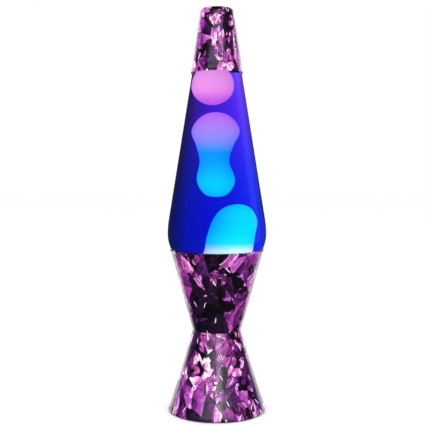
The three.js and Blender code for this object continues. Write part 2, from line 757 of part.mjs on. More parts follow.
function makeCrown() {
  const inner = LIP_R + CLOSURE_CLEARANCE;
  const outer = inner + CROWN_SHEET;
  const under = Z_LIP + LINER + CLOSURE_CLEARANCE;
  const edge = Z_LIP - CROWN_SKIRT;
  const crown = turned(
    [
      [0, under],
      [inner - CROWN_CORNER, under],
      [inner, under - CROWN_CORNER],
      [inner, Z_LIP - CROWN_SKIRT / 3],
      [inner + CROWN_FLARE, edge],
      [outer + CROWN_FLARE, edge],
      [outer, Z_LIP - CROWN_SKIRT / 3],
      [outer, under - CROWN_CORNER],
      [outer - CROWN_CORNER, under + CROWN_SHEET],
      [0, under + CROWN_SHEET],
    ],
    2 * FLUTES,
  );
  // Every second facet edge of the skirt is drawn out into a flute, deepest at the skirt's edge.
  const place = crown.attributes.position;
  for (let i = 0; i < place.count; i++) {
    const at = new THREE.Vector3().fromBufferAttribute(place, i);
    const down = THREE.MathUtils.clamp((under - CROWN_CORNER - at.z) / CROWN_SKIRT, 0, 1);
    const out = 0.5 + 0.5 * Math.cos(FLUTES * Math.atan2(at.y, at.x));
    const reach = Math.hypot(at.x, at.y);
    const grow = reach > 0 ? 1 + (FLUTE_DEPTH * down * out) / reach : 1;
    place.setXYZ(i, at.x * grow, at.y * grow, at.z);
  }
  return crown;
}

const makeLiner = () => rod(LIP_R - CROWN_CORNER, Z_LIP + FILM, Z_LIP + LINER, MIDDLING);

// ------------------------------------------------------------------ wax, coil and liquid
// The mound spreads over the bottle's floor, and a leaning column of it rises to one side.
const poolR = glassInnerR(Z_POOL) - 2 * FILM - 0.3;
const floorR = glassInnerR(Z_GLASS_FLOOR + FOOT_ROUND) - FOOT_ROUND;
const moundStations = [
  [Z_GLASS_FLOOR + FILM, 0, floorR],
  [Z_GLASS_FLOOR + FOOT_ROUND, 0, floorR + FOOT_ROUND / 2],
  [Z_POOL, 0, poolR],
  [mix(Z_POOL, Z_RIM, 0.45), 3, 26],
  [Z_RIM - 3, 6.5, 17.9],
  [Z_RIM + 13, 9.8, 16.6],
  [Z_RIM + 24, 12.3, 15.9],
  [Z_RIM + 33, 13.2, 12.4],
  [Z_RIM + 38, 14, 7.6],
  [Z_RIM + 40.2, 14.5, 0],
];
const middleStations = [
  [Z_RIM + 47.1, -0.6, 0],
  [Z_RIM + 49.5, -0.6, 7.8],
  [Z_RIM + 61.5, -0.7, 13.1],
  [Z_RIM + 79.5, -1.8, 10.1],
  [Z_RIM + 93, -1.5, 12.6],
  [Z_RIM + 107.5, -0.9, 16.4],
  [Z_RIM + 120, -0.8, 10],
  [Z_RIM + 124, -0.8, 0],
];
const topStations = levels(-Math.PI / 2, Math.PI / 2, 8).map((a) => [
  Z_CAP_EDGE - 11.3 + 19.2 * Math.sin(a),
  -3,
  14.5 * Math.cos(a) * (1 - 0.06 * Math.sin(a)),
]);
topStations[0][2] = 0;
topStations[topStations.length - 1][2] = 0;

const WAX_RINGS = 15;
const WAX_FACETS = 18;

const mound = waxBody(moundStations, WAX_RINGS, WAX_FACETS);
const middleBlob = waxBody(middleStations, WAX_RINGS, WAX_FACETS);
const topBlob = waxBody(topStations, WAX_RINGS - 4, WAX_FACETS);

function makeMound() {
  const half = COIL_R + COIL_WIRE_R + GROOVE_CLEARANCE;
  const groove = ring(COIL_RING_R - half, COIL_RING_R + half, Z_GLASS_FLOOR - 1,
    Z_GLASS_FLOOR + 2 * half, ROUND);
  return cut(mound, groove);
}

function makeCoil() {
  // The ring of coiled wire stops just short of a full turn, where its ends hook together.
  const closeness = 0.985;
  class RingCoil extends THREE.Curve {
    getPoint(t) {
      const around = 2 * Math.PI * closeness * t;
      const turn = around * COIL_TURNS;
      const r = COIL_RING_R + COIL_R * Math.cos(turn);
      const z = Z_GLASS_FLOOR + COIL_R + COIL_WIRE_R + 2 * FILM + COIL_R * Math.sin(turn);
      return new THREE.Vector3(r * Math.cos(around), r * Math.sin(around), z);
    }
  }
  return wire(new RingCoil(), COIL_WIRE_R, 4, COIL_TURNS * 6);
}

function makeLiquid() {
  const neckZ = Z_CAP_EDGE + NECK_START;
  const heights = [
    Z_POOL, Z_RIM, ...levels(Z_RIM, Z_WIDEST, 4).slice(1),
    ...levels(Z_WIDEST, Z_WIDEST + TAPER_EASE, 3).slice(1), Z_CAP_EDGE, Math.min(neckZ, Z_FILL),
  ];
  const side = heights.map((z) => [glassInnerR(z) - FILM, z]);
  const body = turned([[0, Z_POOL], ...side, [0, side[side.length - 1][1]]], ROUND);
  // Two fine channels join the hollows round the wax, because the wax rises and sinks through the liquid.
  const lowChannel = rod(CHANNEL_R, Z_RIM + 25, Z_RIM + 55, 8).translate(-0.5, 0, 0);
  const highChannel = rod(CHANNEL_R, Z_RIM + 118, Z_CAP_EDGE - 20, 8).translate(-1.8, 0, 0);
  return cut(body, mound, middleBlob, topBlob, lowChannel, highChannel);
}

function makeCap() {
  const roof = Z_TOP - SHEET;
  const corner = Z_TOP - CAP_CORNER_R;
  const innerCorner = CAP_CORNER_R - SHEET;
  const flatR = CAP_TOP_R - CAP_CORNER_R;
  const outside = quarter([capR(corner), corner], [flatR, Z_TOP], 4);
  const inside = quarter([capInnerR(roof - innerCorner), roof - innerCorner], [flatR, roof], 3).reverse();
  return turned(
    [
      [capInnerR(Z_CAP_EDGE), Z_CAP_EDGE],
      [capEdgeR, Z_CAP_EDGE],
      [capEdgeR + RIM_BEAD, Z_CAP_EDGE + SHEET],
      [capR(Z_CAP_EDGE + 2 * SHEET), Z_CAP_EDGE + 2 * SHEET],
      ...outside,
      [0, Z_TOP],
      [0, roof],
      ...inside,
    ],
    ROUND,
  );
}

// ------------------------------------------------------------------ assembly
add("base_skirt", makeSkirt(), printedAluminium);
add("base_cup", makeCup(), printedAluminium);
add("cord_bushing", makeBushing(), rubber, bushing);
add("bottom_cover", makeCover(), blackPlastic);
footPlaces.forEach(([x, y], i) => {
  add("rubber_foot_" + (i + 1), makeFoot(), rubber).position.set(x, y, 0);
});

add("holder_bracket", makeBracket(), zincSteel);
sides.forEach((side, i) => {
  const z = Z_WAIST + SHEET;
  add("bracket_screw_" + (i + 1), makeScrew(z, SCREW_LENGTH), zincSteel).position.set(side * screwX, 0, 0);
  const nutZ = Z_WAIST - SHEET - BRACKET_SHEET - NUT_HEIGHT;
  const hexagon = nut(NUT_WIDTH, SCREW_R + FILM, nutZ, NUT_HEIGHT);
  add("bracket_nut_" + (i + 1), hexagon, zincSteel).position.set(side * screwX, 0, 0);
  const shortScrew = makeScrew(FILM, TERMINAL_DEPTH - WALL_GAP);
  add("terminal_screw_" + (i + 1), shortScrew, brass, terminals[side]);
});
add("lampholder_body", makeHolderBody(), porcelain);
add("lampholder_shell", makeHolderShell(), brass);
add("lampholder_contact", makeContact(), brass);
add("lampholder_nipple", makeNipple(), zincSteel);
const washerZ = Z_CROSSBAR - WASHER;
const washer = ring(NIPPLE_R + SCREW_CLEARANCE, NIPPLE_NUT_WIDTH / 2, washerZ, Z_CROSSBAR, MIDDLING);
add("nipple_washer", washer, zincSteel);
const nutUnder = washerZ - NIPPLE_NUT_HEIGHT;
add("nipple_nut", nut(NIPPLE_NUT_WIDTH, NIPPLE_R + FILM, nutUnder, NIPPLE_NUT_HEIGHT), zincSteel);

add("bulb_glass", makeEnvelope(), clearGlass);
add("bulb_shell", makeBulbShell(), nickelShell);
add("bulb_insulator", makeInsulator(), blackGlass);
add("bulb_tip", makeTip(), solder);
add("bulb_stem", makeStem(), clearGlass);
sides.forEach((side, i) => add("filament_support_" + (i + 1), makeSupport(side), nickelShell));
add("filament", makeFilament(), tungsten);

add("bottle", makeBottle(), bottleGlass);
add("liquid", makeLiquid(), dyedLiquid);
add("wax_mound", makeMound(), wax);
add("wax_blob_middle", middleBlob, wax);
add("wax_blob_top", topBlob, pinkWax);
add("heat_coil", makeCoil(), springSteel);
add("crown_closure", makeCrown(), crownTin);
add("closure_liner", makeLiner(), linerPlastic);
add("cap", makeCap(), printedAluminium);

export default lamp;
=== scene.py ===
import logging
import math
from collections.abc import Mapping, Sequence
from dataclasses import dataclass, field, replace
from enum import Enum

import bpy
from mathutils import Matrix, Vector


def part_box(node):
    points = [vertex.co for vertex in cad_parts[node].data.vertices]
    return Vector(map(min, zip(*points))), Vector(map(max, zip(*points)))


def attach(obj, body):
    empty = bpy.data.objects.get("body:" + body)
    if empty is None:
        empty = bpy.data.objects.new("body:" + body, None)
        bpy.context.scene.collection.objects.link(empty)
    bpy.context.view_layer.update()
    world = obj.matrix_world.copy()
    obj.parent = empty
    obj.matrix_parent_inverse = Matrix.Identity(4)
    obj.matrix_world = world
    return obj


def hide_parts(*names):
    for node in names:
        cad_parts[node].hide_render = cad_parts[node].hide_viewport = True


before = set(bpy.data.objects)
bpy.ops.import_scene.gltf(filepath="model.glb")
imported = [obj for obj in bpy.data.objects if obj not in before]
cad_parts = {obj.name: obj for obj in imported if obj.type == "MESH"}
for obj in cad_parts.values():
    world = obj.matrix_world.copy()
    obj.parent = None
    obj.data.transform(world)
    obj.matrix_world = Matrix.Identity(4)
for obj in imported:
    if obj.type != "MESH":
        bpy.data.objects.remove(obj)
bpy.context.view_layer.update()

# The looks of a lava lamp: three printed cones of spun aluminium, a bottle of dyed liquid with wax in it
# whose glow is painted light, and the lampholder, bulb and fittings inside. Outlines are in millimetres,
# meshes in metres.

MM = 0.001
ROUND_FACES = 144
SMALL_FACES = 48
SHARP_EDGE = math.radians(32)

# The screw thread that bulb and lampholder share, in millimetres.
THREAD_PITCH = 2.82
THREAD_DEPTH = 0.55
SHELL_SHEET = 0.35

Point = tuple[float, float]
Mesh = bpy.types.Mesh
Tree = bpy.types.NodeTree
Feed = bpy.types.Node | bpy.types.NodeSocket
Value = float | int | bool | tuple[float, ...] | Feed

log = logging.getLogger("lava_lamp")


# ---------------------------------------------------------------- colours and nodes
def linear(colour: str, alpha: float = 1.0) -> tuple[float, float, float, float]:
    """Turns an sRGB hex colour into the linear values that Blender's sockets hold.

    Args:
        colour: Six hex digits after a "#".
        alpha: The fourth value.

    Returns:
        Linear red, green, blue and alpha.
    """
    parts = [int(colour[i : i + 2], 16) / 255 for i in (1, 3, 5)]
    red, green, blue = (c / 12.92 if c <= 0.04045 else ((c + 0.055) / 1.055) ** 2.4 for c in parts)
    return red, green, blue, alpha


def add_node(
    tree: Tree, kind: str, inputs: Mapping[str | int, Value] | None = None, **settings: object
) -> bpy.types.Node:
    """Adds a node with its settings, constants and links.

    Args:
        tree: The material's, world's or geometry tree.
        kind: The node's type name.
        inputs: Each input by name or place, with a constant, an output that feeds it, or a node whose
            first output in use feeds it.
        **settings: The node's own properties.

    Returns:
        The new node.
    """
    node = tree.nodes.new(kind)
    for name, value in settings.items():
        setattr(node, name, value)
    for key, value in (inputs or {}).items():
        if isinstance(value, bpy.types.Node):
            value = next(output for output in value.outputs if output.enabled)
        if isinstance(value, bpy.types.NodeSocket):
            tree.links.new(value, node.inputs[key])
        else:
            node.inputs[key].default_value = value
    return node


def paint_ramp(ramp: bpy.types.Node, stops: Sequence[tuple[float, str]]) -> Feed:
    """Sets a colour ramp's stops.

    Args:
        ramp: A Color Ramp node.
        stops: Places from 0 to 1 with their hex colours, in order.

    Returns:
        The ramp's colour output.
    """
    elements = ramp.color_ramp.elements
    while len(elements) > 1:
        elements.remove(elements[-1])
    elements[0].position, elements[0].color = stops[0][0], linear(stops[0][1])
    for place, colour in stops[1:]:
        elements.new(place).color = linear(colour)
    return ramp.outputs["Color"]


def by_height(low: float, high: float, *stops: tuple[float, str]) -> tuple[tuple[float, str], ...]:
    """Turns stops by height in millimetres into stops from 0 to 1.

    Args:
        low: Height of place 0.
        high: Height of place 1.
        *stops: Heights and hex colours, from the bottom up.

    Returns:
        Places and colours.
    """
    return tuple(((z - low) / (high - low), colour) for z, colour in stops)


# ---------------------------------------------------------------- finishes
@dataclass(frozen=True)
class Finish:
    """One surface finish, made once as a node material."""

    name: str

    def material(self) -> bpy.types.Material:
        """Makes the finish's material on first use.

        Returns:
            The material, the same one each time.
        """
        found = bpy.data.materials.get(self.name)
        if found is not None:
            return found
        made = bpy.data.materials.new(self.name)
        made.use_nodes = True
        made.node_tree.nodes.clear()
        shader = self.shade(made.node_tree)
        output = add_node(made.node_tree, "ShaderNodeOutputMaterial", {"Surface": shader})
        self.fill(made.node_tree, output)
        return made

    def shade(self, tree: Tree) -> Feed:
        """Builds the surface shader.

        Args:
            tree: The material's node tree.

        Returns:
            The shader output for the material's surface.
        """
        raise NotImplementedError

    def fill(self, tree: Tree, output: bpy.types.Node) -> None:
        """Adds what fills the body under the surface; most finishes have nothing there."""


@dataclass(frozen=True)
class CrystalField:
    """What one layer of crystals gives the print."""

    tone: Feed
    lit: Feed
    chance: Feed
    gap: Feed
    ridge: Feed


@dataclass(frozen=True)
class CrystalPrint(Finish):
    """Heat-transfer film of amethyst crystals on spun aluminium, under clear lacquer.

    The film gives hard-edged facets from near black through violet and orchid to white, with white
    glints along some ridges. The lacquer over it gives one smooth, glassy reflection.
    """

    gloom: float = 0.3
    # Overall level of the film; it differs between the cones' copies as painted light and shade.
    glow: float = 1.0
    shift: float = 0.0
    crystal_mm: float = 17.0
    shard_mm: float = 8.5
    stretch: float = 1.45
    glint_mm: float = 20.0
    glint_gap_mm: float = 2.5
    typical_r_mm: float = 32.0
    shade_level: float = 0.4
    # A crystal's tip stands above its middle by this share of its size.
    tip_rise: float = 0.22
    # Change of tone across one facet.
    facet_fade: float = 0.42
    facets: tuple[int, int] = (5, 4)
    # Share of the crystals that stay whole; the others are broken into shards.
    whole_share: float = 0.64
    # Weights of a facet's own tone, of its cleavage marks and of its crystal's light.
    weights: tuple[float, float, float] = (0.72, 0.24, 0.2)
    waver_mm: float = 38.0
    waver_reach_mm: tuple[float, float, float] = (30.0, 30.0, 16.0)
    cleavage_mm: float = 4.0
    gap_change_mm: float = 11.0
    gap_width: tuple[float, float] = (-0.03, 0.4)
    gap_shade: float = 0.12
    # A facet lighter than this has a pale line along its ridge.
    ridge_from: float = 0.55
    ridge_width: tuple[float, float] = (0.03, 0.015)
    # Lean in degrees and share of each set of glints.
    glints: tuple[tuple[float, float], tuple[float, float]] = ((24.0, 0.09), (-31.0, 0.08))
    glint_edge: tuple[float, float] = (0.19, 0.13)
    bend_mm: float = 3.5
    hues: tuple[float, float] = (0.455, 0.535)
    richness: float = 1.28
    peel_mm: float = 2.0

    def crystals(
        self,
        tree: Tree,
        place: Feed,
        around: Feed,
        size_mm: float,
        facets: int,
    ) -> CrystalField:
        """Adds one layer of pointed crystals, each with facets that meet at its tip.

        Args:
            tree: The material's node tree.
            place: Position on the lamp in millimetres.
            around: Unit direction round the cone at that place.
            size_mm: Width of a typical crystal.
            facets: Number of facets round a tip.

        Returns:
            The layer's outputs.
        """
        spread = (1 / size_mm, 1 / size_mm, 1 / (size_mm * self.stretch))
        offset = (self.shift, self.shift * 0.6, -self.shift)
        grid = add_node(
            tree, "ShaderNodeMapping", {"Vector": place, "Location": offset, "Scale": spread}
        )
        cells = add_node(
            tree,
            "ShaderNodeTexVoronoi",
            {"Vector": grid, "Scale": 1.0},
            feature="F1",
            distance="MANHATTAN",
        )
        beyond = add_node(
            tree,
            "ShaderNodeTexVoronoi",
            {"Vector": grid, "Scale": 1.0},
            feature="F2",
            distance="MANHATTAN",
        )
        gap = add_node(
            tree,
            "ShaderNodeMath",
            {0: beyond.outputs["Distance"], 1: cells.outputs["Distance"]},
            operation="SUBTRACT",
        )
        local = add_node(
            tree,
            "ShaderNodeVectorMath",
            {0: grid, 1: cells.outputs["Position"]},
            operation="SUBTRACT",
        )
        aside = add_node(
            tree, "ShaderNodeVectorMath", {0: local, 1: around}, operation="DOT_PRODUCT"
        )
        level = add_node(tree, "ShaderNodeSeparateXYZ", {0: local}).outputs["Z"]
        up = add_node(tree, "ShaderNodeMath", {0: level, 1: self.tip_rise}, operation="SUBTRACT")
        chances = add_node(tree, "ShaderNodeSeparateColor", {0: cells.outputs["Color"]}).outputs
        turn = add_node(tree, "ShaderNodeMath", {0: up, 1: aside}, operation="ARCTAN2")
        first = add_node(
            tree,
            "ShaderNodeMath",
            {0: chances["Red"], 1: 2 * math.pi, 2: turn},
            operation="MULTIPLY_ADD",
        )
        count = add_node(
            tree, "ShaderNodeMath", {0: first, 1: facets / (2 * math.pi)}, operation="MULTIPLY"
        )
        which = add_node(tree, "ShaderNodeMath", {0: count}, operation="FLOOR")
        across = add_node(tree, "ShaderNodeMath", {0: count}, operation="FRACT")
        key = add_node(
            tree, "ShaderNodeVectorMath", {0: cells.outputs["Color"], 1: which}, operation="ADD"
        )
        facet = add_node(tree, "ShaderNodeTexWhiteNoise", {"Vector": key}, noise_dimensions="3D")
        reach = add_node(tree, "ShaderNodeVectorMath", {0: local}, operation="LENGTH")
        lean = add_node(
            tree,
            "ShaderNodeMath",
            {0: across, 1: self.facet_fade, 2: -self.facet_fade / 2},
            operation="MULTIPLY_ADD",
        )
        tone = add_node(
            tree, "ShaderNodeMath", {0: facet.outputs["Value"], 1: lean}, operation="ADD"
        )
        ridge = add_node(tree, "ShaderNodeMath", {0: across, 1: reach}, operation="MULTIPLY")
        return CrystalField(tone, chances["Green"], chances["Blue"], gap, ridge)

    def slivers(self, tree: Tree, sheet: Feed, tilt: float, share: float) -> Feed:
        """Adds thin white glints that all lean one way.

        Args:
            tree: The material's node tree.
            sheet: Distance round the lamp and height, in millimetres.
            tilt: The lean from upright, in degrees.
            share: How many of the possible glints show, from 0 to 1.

        Returns:
            A mask, 1 on a glint.
        """
        turned = add_node(
            tree, "ShaderNodeMapping", {"Vector": sheet, "Rotation": (0.0, 0.0, math.radians(tilt))}
        )
        spread = (1 / self.glint_gap_mm, 1 / self.glint_mm, 1.0)
        grid = add_node(
            tree,
            "ShaderNodeMapping",
            {"Vector": turned, "Scale": spread, "Location": (self.shift, tilt, 0.0)},
        )
        cells = add_node(
            tree, "ShaderNodeTexVoronoi", {"Vector": grid, "Scale": 1.0}, voronoi_dimensions="2D"
        )
        chance = add_node(
            tree, "ShaderNodeSeparateColor", {0: cells.outputs["Color"]}
        ).outputs["Red"]
        chosen = add_node(
            tree, "ShaderNodeMath", {0: chance, 1: 1 - share}, operation="GREATER_THAN"
        )
        core = add_node(
            tree,
            "ShaderNodeMapRange",
            {
                "Value": cells.outputs["Distance"],
                "From Min": self.glint_edge[0],
                "From Max": self.glint_edge[1],
            },
        )
        return add_node(tree, "ShaderNodeMath", {0: chosen, 1: core}, operation="MULTIPLY")

    def unrolled(self, tree: Tree, spot: Feed) -> Feed:
        """Unrolls the cone into a sheet whose seam is at the back.

        Args:
            tree: The material's node tree.
            spot: Position on the lamp in metres.

        Returns:
            Distance round the lamp and height, in millimetres, with a slow bend that curves the glints.
        """
        axes = add_node(tree, "ShaderNodeSeparateXYZ", {0: spot}).outputs
        front = add_node(tree, "ShaderNodeMath", {0: axes["Y"], 1: -1.0}, operation="MULTIPLY")
        turn = add_node(tree, "ShaderNodeMath", {0: axes["X"], 1: front}, operation="ARCTAN2")
        bend = add_node(tree, "ShaderNodeTexNoise", {"Vector": spot, "Scale": 130.0, "Detail": 0.0})
        bent = add_node(
            tree,
            "ShaderNodeMath",
            {0: bend, 1: self.bend_mm / self.typical_r_mm, 2: turn},
            operation="MULTIPLY_ADD",
        )
        distance = add_node(
            tree, "ShaderNodeMath", {0: bent, 1: self.typical_r_mm}, operation="MULTIPLY"
        )
        height = add_node(tree, "ShaderNodeMath", {0: axes["Z"], 1: 1 / MM}, operation="MULTIPLY")
        return add_node(tree, "ShaderNodeCombineXYZ", {"X": distance, "Y": height})

    def shade(self, tree: Tree) -> Feed:
        """Builds the printed surface: layered crystals, dark gaps, glints and lacquer.

        Args:
            tree: The material's node tree.

        Returns:
            The shader output.
        """
        spot = add_node(tree, "ShaderNodeTexCoord").outputs["Object"]
        straight = add_node(
            tree, "ShaderNodeVectorMath", {0: spot, "Scale": 1 / MM}, operation="SCALE"
        )
        # A slow waver turns neighbouring crystals a little different ways.
        waver = add_node(
            tree,
            "ShaderNodeTexNoise",
            {"Vector": straight, "Scale": 1 / self.waver_mm, "Detail": 0.0},
        ).outputs["Color"]
        centred = add_node(
            tree, "ShaderNodeVectorMath", {0: waver, 1: (0.5, 0.5, 0.5)}, operation="SUBTRACT"
        )
        place = add_node(
            tree,
            "ShaderNodeVectorMath",
            {0: centred, 1: self.waver_reach_mm, 2: straight},
            operation="MULTIPLY_ADD",
        )
        across = add_node(
            tree, "ShaderNodeVectorMath", {0: (0.0, 0.0, 1.0), 1: spot}, operation="CROSS_PRODUCT"
        )
        around = add_node(tree, "ShaderNodeVectorMath", {0: across}, operation="NORMALIZE")
        big = self.crystals(tree, place, around, self.crystal_mm, self.facets[0])
        small = self.crystals(tree, place, around, self.shard_mm, self.facets[1])

        shards = add_node(
            tree, "ShaderNodeMath", {0: big.lit, 1: self.whole_share}, operation="GREATER_THAN"
        )
        tone = add_node(tree, "ShaderNodeMix", {"Factor": shards, "A": big.tone, "B": small.tone})
        lit = add_node(tree, "ShaderNodeMix", {"Factor": shards, "A": big.lit, "B": small.lit})
        chance = add_node(
            tree, "ShaderNodeMix", {"Factor": shards, "A": big.chance, "B": small.chance}
        )
        raised = add_node(
            tree, "ShaderNodeMath", {0: tone, 1: self.weights[0]}, operation="MULTIPLY"
        )
        # Cleavage marks break up each facet.
        marks = add_node(
            tree,
            "ShaderNodeTexVoronoi",
            {"Vector": place, "Scale": 1 / self.cleavage_mm},
            feature="F1",
            distance="MANHATTAN",
        ).outputs["Color"]
        mark = add_node(tree, "ShaderNodeSeparateColor", {0: marks}).outputs["Red"]
        marked = add_node(
            tree,
            "ShaderNodeMath",
            {0: mark, 1: self.weights[1], 2: raised},
            operation="MULTIPLY_ADD",
        )
        fed = add_node(
            tree,
            "ShaderNodeMath",
            {0: lit, 1: self.weights[2], 2: marked},
            operation="MULTIPLY_ADD",
        )
        # Some crystals lie in deep shade, and a dark gap of uneven width runs between them.
        shaded = add_node(
            tree,
            "ShaderNodeMapRange",
            {
                "Value": chance,
                "From Min": self.gloom,
                "From Max": self.gloom + 0.05,
                "To Min": self.shade_level,
            },
        )
        width = add_node(
            tree,
            "ShaderNodeTexNoise",
            {"Vector": straight, "Scale": 1 / self.gap_change_mm, "Detail": 1.0},
        )
        opened = add_node(
            tree,
            "ShaderNodeMapRange",
            {
                "Value": width,
                "From Min": 0.5,
                "From Max": 0.75,
                "To Min": self.gap_width[0],
                "To Max": self.gap_width[1],
            },
        )
        brim = add_node(tree, "ShaderNodeMath", {0: big.gap, 1: opened}, operation="SUBTRACT")
        clear = add_node(
            tree,
            "ShaderNodeMapRange",
            {"Value": brim, "From Min": -0.02, "From Max": 0.02, "To Min": self.gap_shade},
        )
        gated = add_node(tree, "ShaderNodeMath", {0: shaded, 1: clear}, operation="MULTIPLY")
        level = add_node(tree, "ShaderNodeMath", {0: fed, 1: gated}, operation="MULTIPLY")
        # A thin pale line follows the ridge of the brighter facets.
        thin = add_node(
            tree,
            "ShaderNodeMapRange",
            {"Value": big.ridge, "From Min": self.ridge_width[0], "From Max": self.ridge_width[1]},
        )
        bright = add_node(
            tree, "ShaderNodeMath", {0: level, 1: self.ridge_from}, operation="GREATER_THAN"
        )
        edge = add_node(tree, "ShaderNodeMath", {0: thin, 1: bright}, operation="MULTIPLY")
        sheet = self.unrolled(tree, spot)
        first, second = (self.slivers(tree, sheet, tilt, share) for tilt, share in self.glints)
        glints = add_node(tree, "ShaderNodeMath", {0: first, 1: second}, operation="MAXIMUM")
        white = add_node(tree, "ShaderNodeMath", {0: glints, 1: edge}, operation="MAXIMUM")
        # Painted light and shade: the film's level is scaled by each cone's own brightness.
        glowing = add_node(tree, "ShaderNodeMath", {0: level, 1: self.glow}, operation="MULTIPLY")
        final = add_node(
            tree, "ShaderNodeMath", {0: glowing, 1: white}, operation="MAXIMUM", use_clamp=True
        )
        colour = paint_ramp(
            add_node(tree, "ShaderNodeValToRGB", {"Fac": final}),
            [
                (0.0, "#050009"),
                (0.12, "#1c0722"),
                (0.27, "#421c49"),
                (0.42, "#6c356f"),
                (0.57, "#9c5497"),
                (0.7, "#bd70b2"),
                (0.82, "#e19fd3"),
                (0.92, "#f8d5f1"),
                (1.0, "#fffafd"),
            ],
        )
        # Each crystal's violet leans a little towards blue or towards rose.
        hue = add_node(
            tree,
            "ShaderNodeMapRange",
            {"Value": lit, "To Min": self.hues[0], "To Max": self.hues[1]},
        )
        tinted = add_node(
            tree,
            "ShaderNodeHueSaturation",
            {"Hue": hue, "Saturation": self.richness, "Color": colour},
        )
        # Orange-peel relief of the cured lacquer.
        peel = add_node(
            tree,
            "ShaderNodeTexNoise",
            {"Vector": straight, "Scale": 1 / self.peel_mm, "Detail": 2.0},
        )
        relief = add_node(
            tree, "ShaderNodeBump", {"Height": peel, "Strength": 0.05, "Distance": 0.01 * MM}
        )
        return add_node(
            tree,
            "ShaderNodeBsdfPrincipled",
            {
                "Base Color": tinted,
                "Roughness": 0.32,
                "Metallic": 0.0,
                "Normal": relief,
                "Coat Weight": 1.0,
                "Coat Roughness": 0.05,
                "Coat IOR": 1.5,
            },
        )


class Working(Enum):
    """How a surface was made, as the stretch of its marks along X, Y and Z."""

    MOULDED = (1.0, 1.0, 1.0)
    SPUN = (0.03, 0.03, 1.0)
    BRUSHED = (0.06, 1.0, 1.0)
    DRAWN = (0.15, 0.15, 0.15)


@dataclass(frozen=True)
class MadeSurface(Finish):
    """A plain material with the marks of its making in colour, gloss and relief."""

    colour: str = "#808080"
    worn: str = "#909090"
    working: Working = Working.MOULDED
    mark_mm: float = 0.6
    relief_mm: float = 0.02
    metallic: float = 0.0
    gloss: tuple[float, float] = (0.4, 0.55)
    coat: float = 0.0
    ior: float = 1.5

    def shade(self, tree: Tree) -> Feed:
        """Builds the surface from fine marks and slow stains.

        Args:
            tree: The material's node tree.

        Returns:
            The shader output.
        """
        spot = add_node(tree, "ShaderNodeTexCoord").outputs["Object"]
        per_metre = 1 / (self.mark_mm * MM)
        spread = tuple(per_metre * share for share in self.working.value)
        grid = add_node(tree, "ShaderNodeMapping", {"Vector": spot, "Scale": spread})
        marks = add_node(
            tree,
            "ShaderNodeTexNoise",
            {"Vector": grid, "Scale": 1.0, "Detail": 4.0, "Roughness": 0.6},
        )
        stains = add_node(
            tree, "ShaderNodeTexNoise", {"Vector": spot, "Scale": 90.0, "Detail": 3.0}
        )
        blend = add_node(tree, "ShaderNodeMix", {"Factor": 0.5, "A": marks, "B": stains})
        colour = paint_ramp(
            add_node(tree, "ShaderNodeValToRGB", {"Fac": blend}),
            [(0.3, self.colour), (0.72, self.worn)],
        )
        rough = add_node(
            tree,
            "ShaderNodeMapRange",
            {
                "Value": blend,
                "From Min": 0.25,
                "From Max": 0.75,
                "To Min": self.gloss[0],
                "To Max": self.gloss[1],
            },
        )
        relief = add_node(
            tree,
            "ShaderNodeBump",
            {"Height": marks, "Strength": 0.6, "Distance": self.relief_mm * MM},
        )
        return add_node(
            tree,
            "ShaderNodeBsdfPrincipled",
            {
                "Base Color": colour,
                "Roughness": rough,
                "Metallic": self.metallic,
                "IOR": self.ior,
                "Normal": relief,
                "Coat Weight": self.coat,
            },
        )


@dataclass(frozen=True)
class BareMetal(MadeSurface):
    """A metal surface with nothing over it."""

    relief_mm: float = 0.01
    metallic: float = 1.0


@dataclass(frozen=True)
class BlownGlass(Finish):
    """Clear soda-lime glass, mould-blown: a faint long ripple in the wall bends what shows through it."""

    tint: str = "#f7fbff"
    ripple_mm: float = 14.0
    relief_mm: float = 0.004
    shine: str = "#ffffff"

    def hue(self, tree: Tree, spot: Feed, wave: Feed) -> Feed:
        """Colours the wall: a trace of tint where the ripple makes it thicker.

        Args:
            tree: The material's node tree.
            spot: Position on the lamp in metres; not used here.
            wave: The ripple, from 0 to 1.

        Returns:
            The wall's colour.
        """
        return paint_ramp(
            add_node(tree, "ShaderNodeValToRGB", {"Fac": wave}),
            [(0.2, self.tint), (0.8, "#ffffff")],
        )

    def shade(self, tree: Tree) -> Feed:
        """Builds the clear wall with its ripple.

        Args:
            tree: The material's node tree.

        Returns:
            The shader output.
        """
        spot = add_node(tree, "ShaderNodeTexCoord").outputs["Object"]
        across = 1 / (self.ripple_mm * MM)
        grid = add_node(
            tree, "ShaderNodeMapping", {"Vector": spot, "Scale": (across, across, across / 4)}
        )
        wave = add_node(tree, "ShaderNodeTexNoise", {"Vector": grid, "Scale": 1.0, "Detail": 1.0})
        relief = add_node(
            tree,
            "ShaderNodeBump",
            {"Height": wave, "Strength": 0.5, "Distance": self.relief_mm * MM},
        )
        return add_node(
            tree,
            "ShaderNodeBsdfPrincipled",
            {
                "Base Color": self.hue(tree, spot, wave),
                "Specular Tint": linear(self.shine),
                "Roughness": 0.0,
                "IOR": 1.5,
                "Transmission Weight": 1.0,
                "Normal": relief,
            },
        )


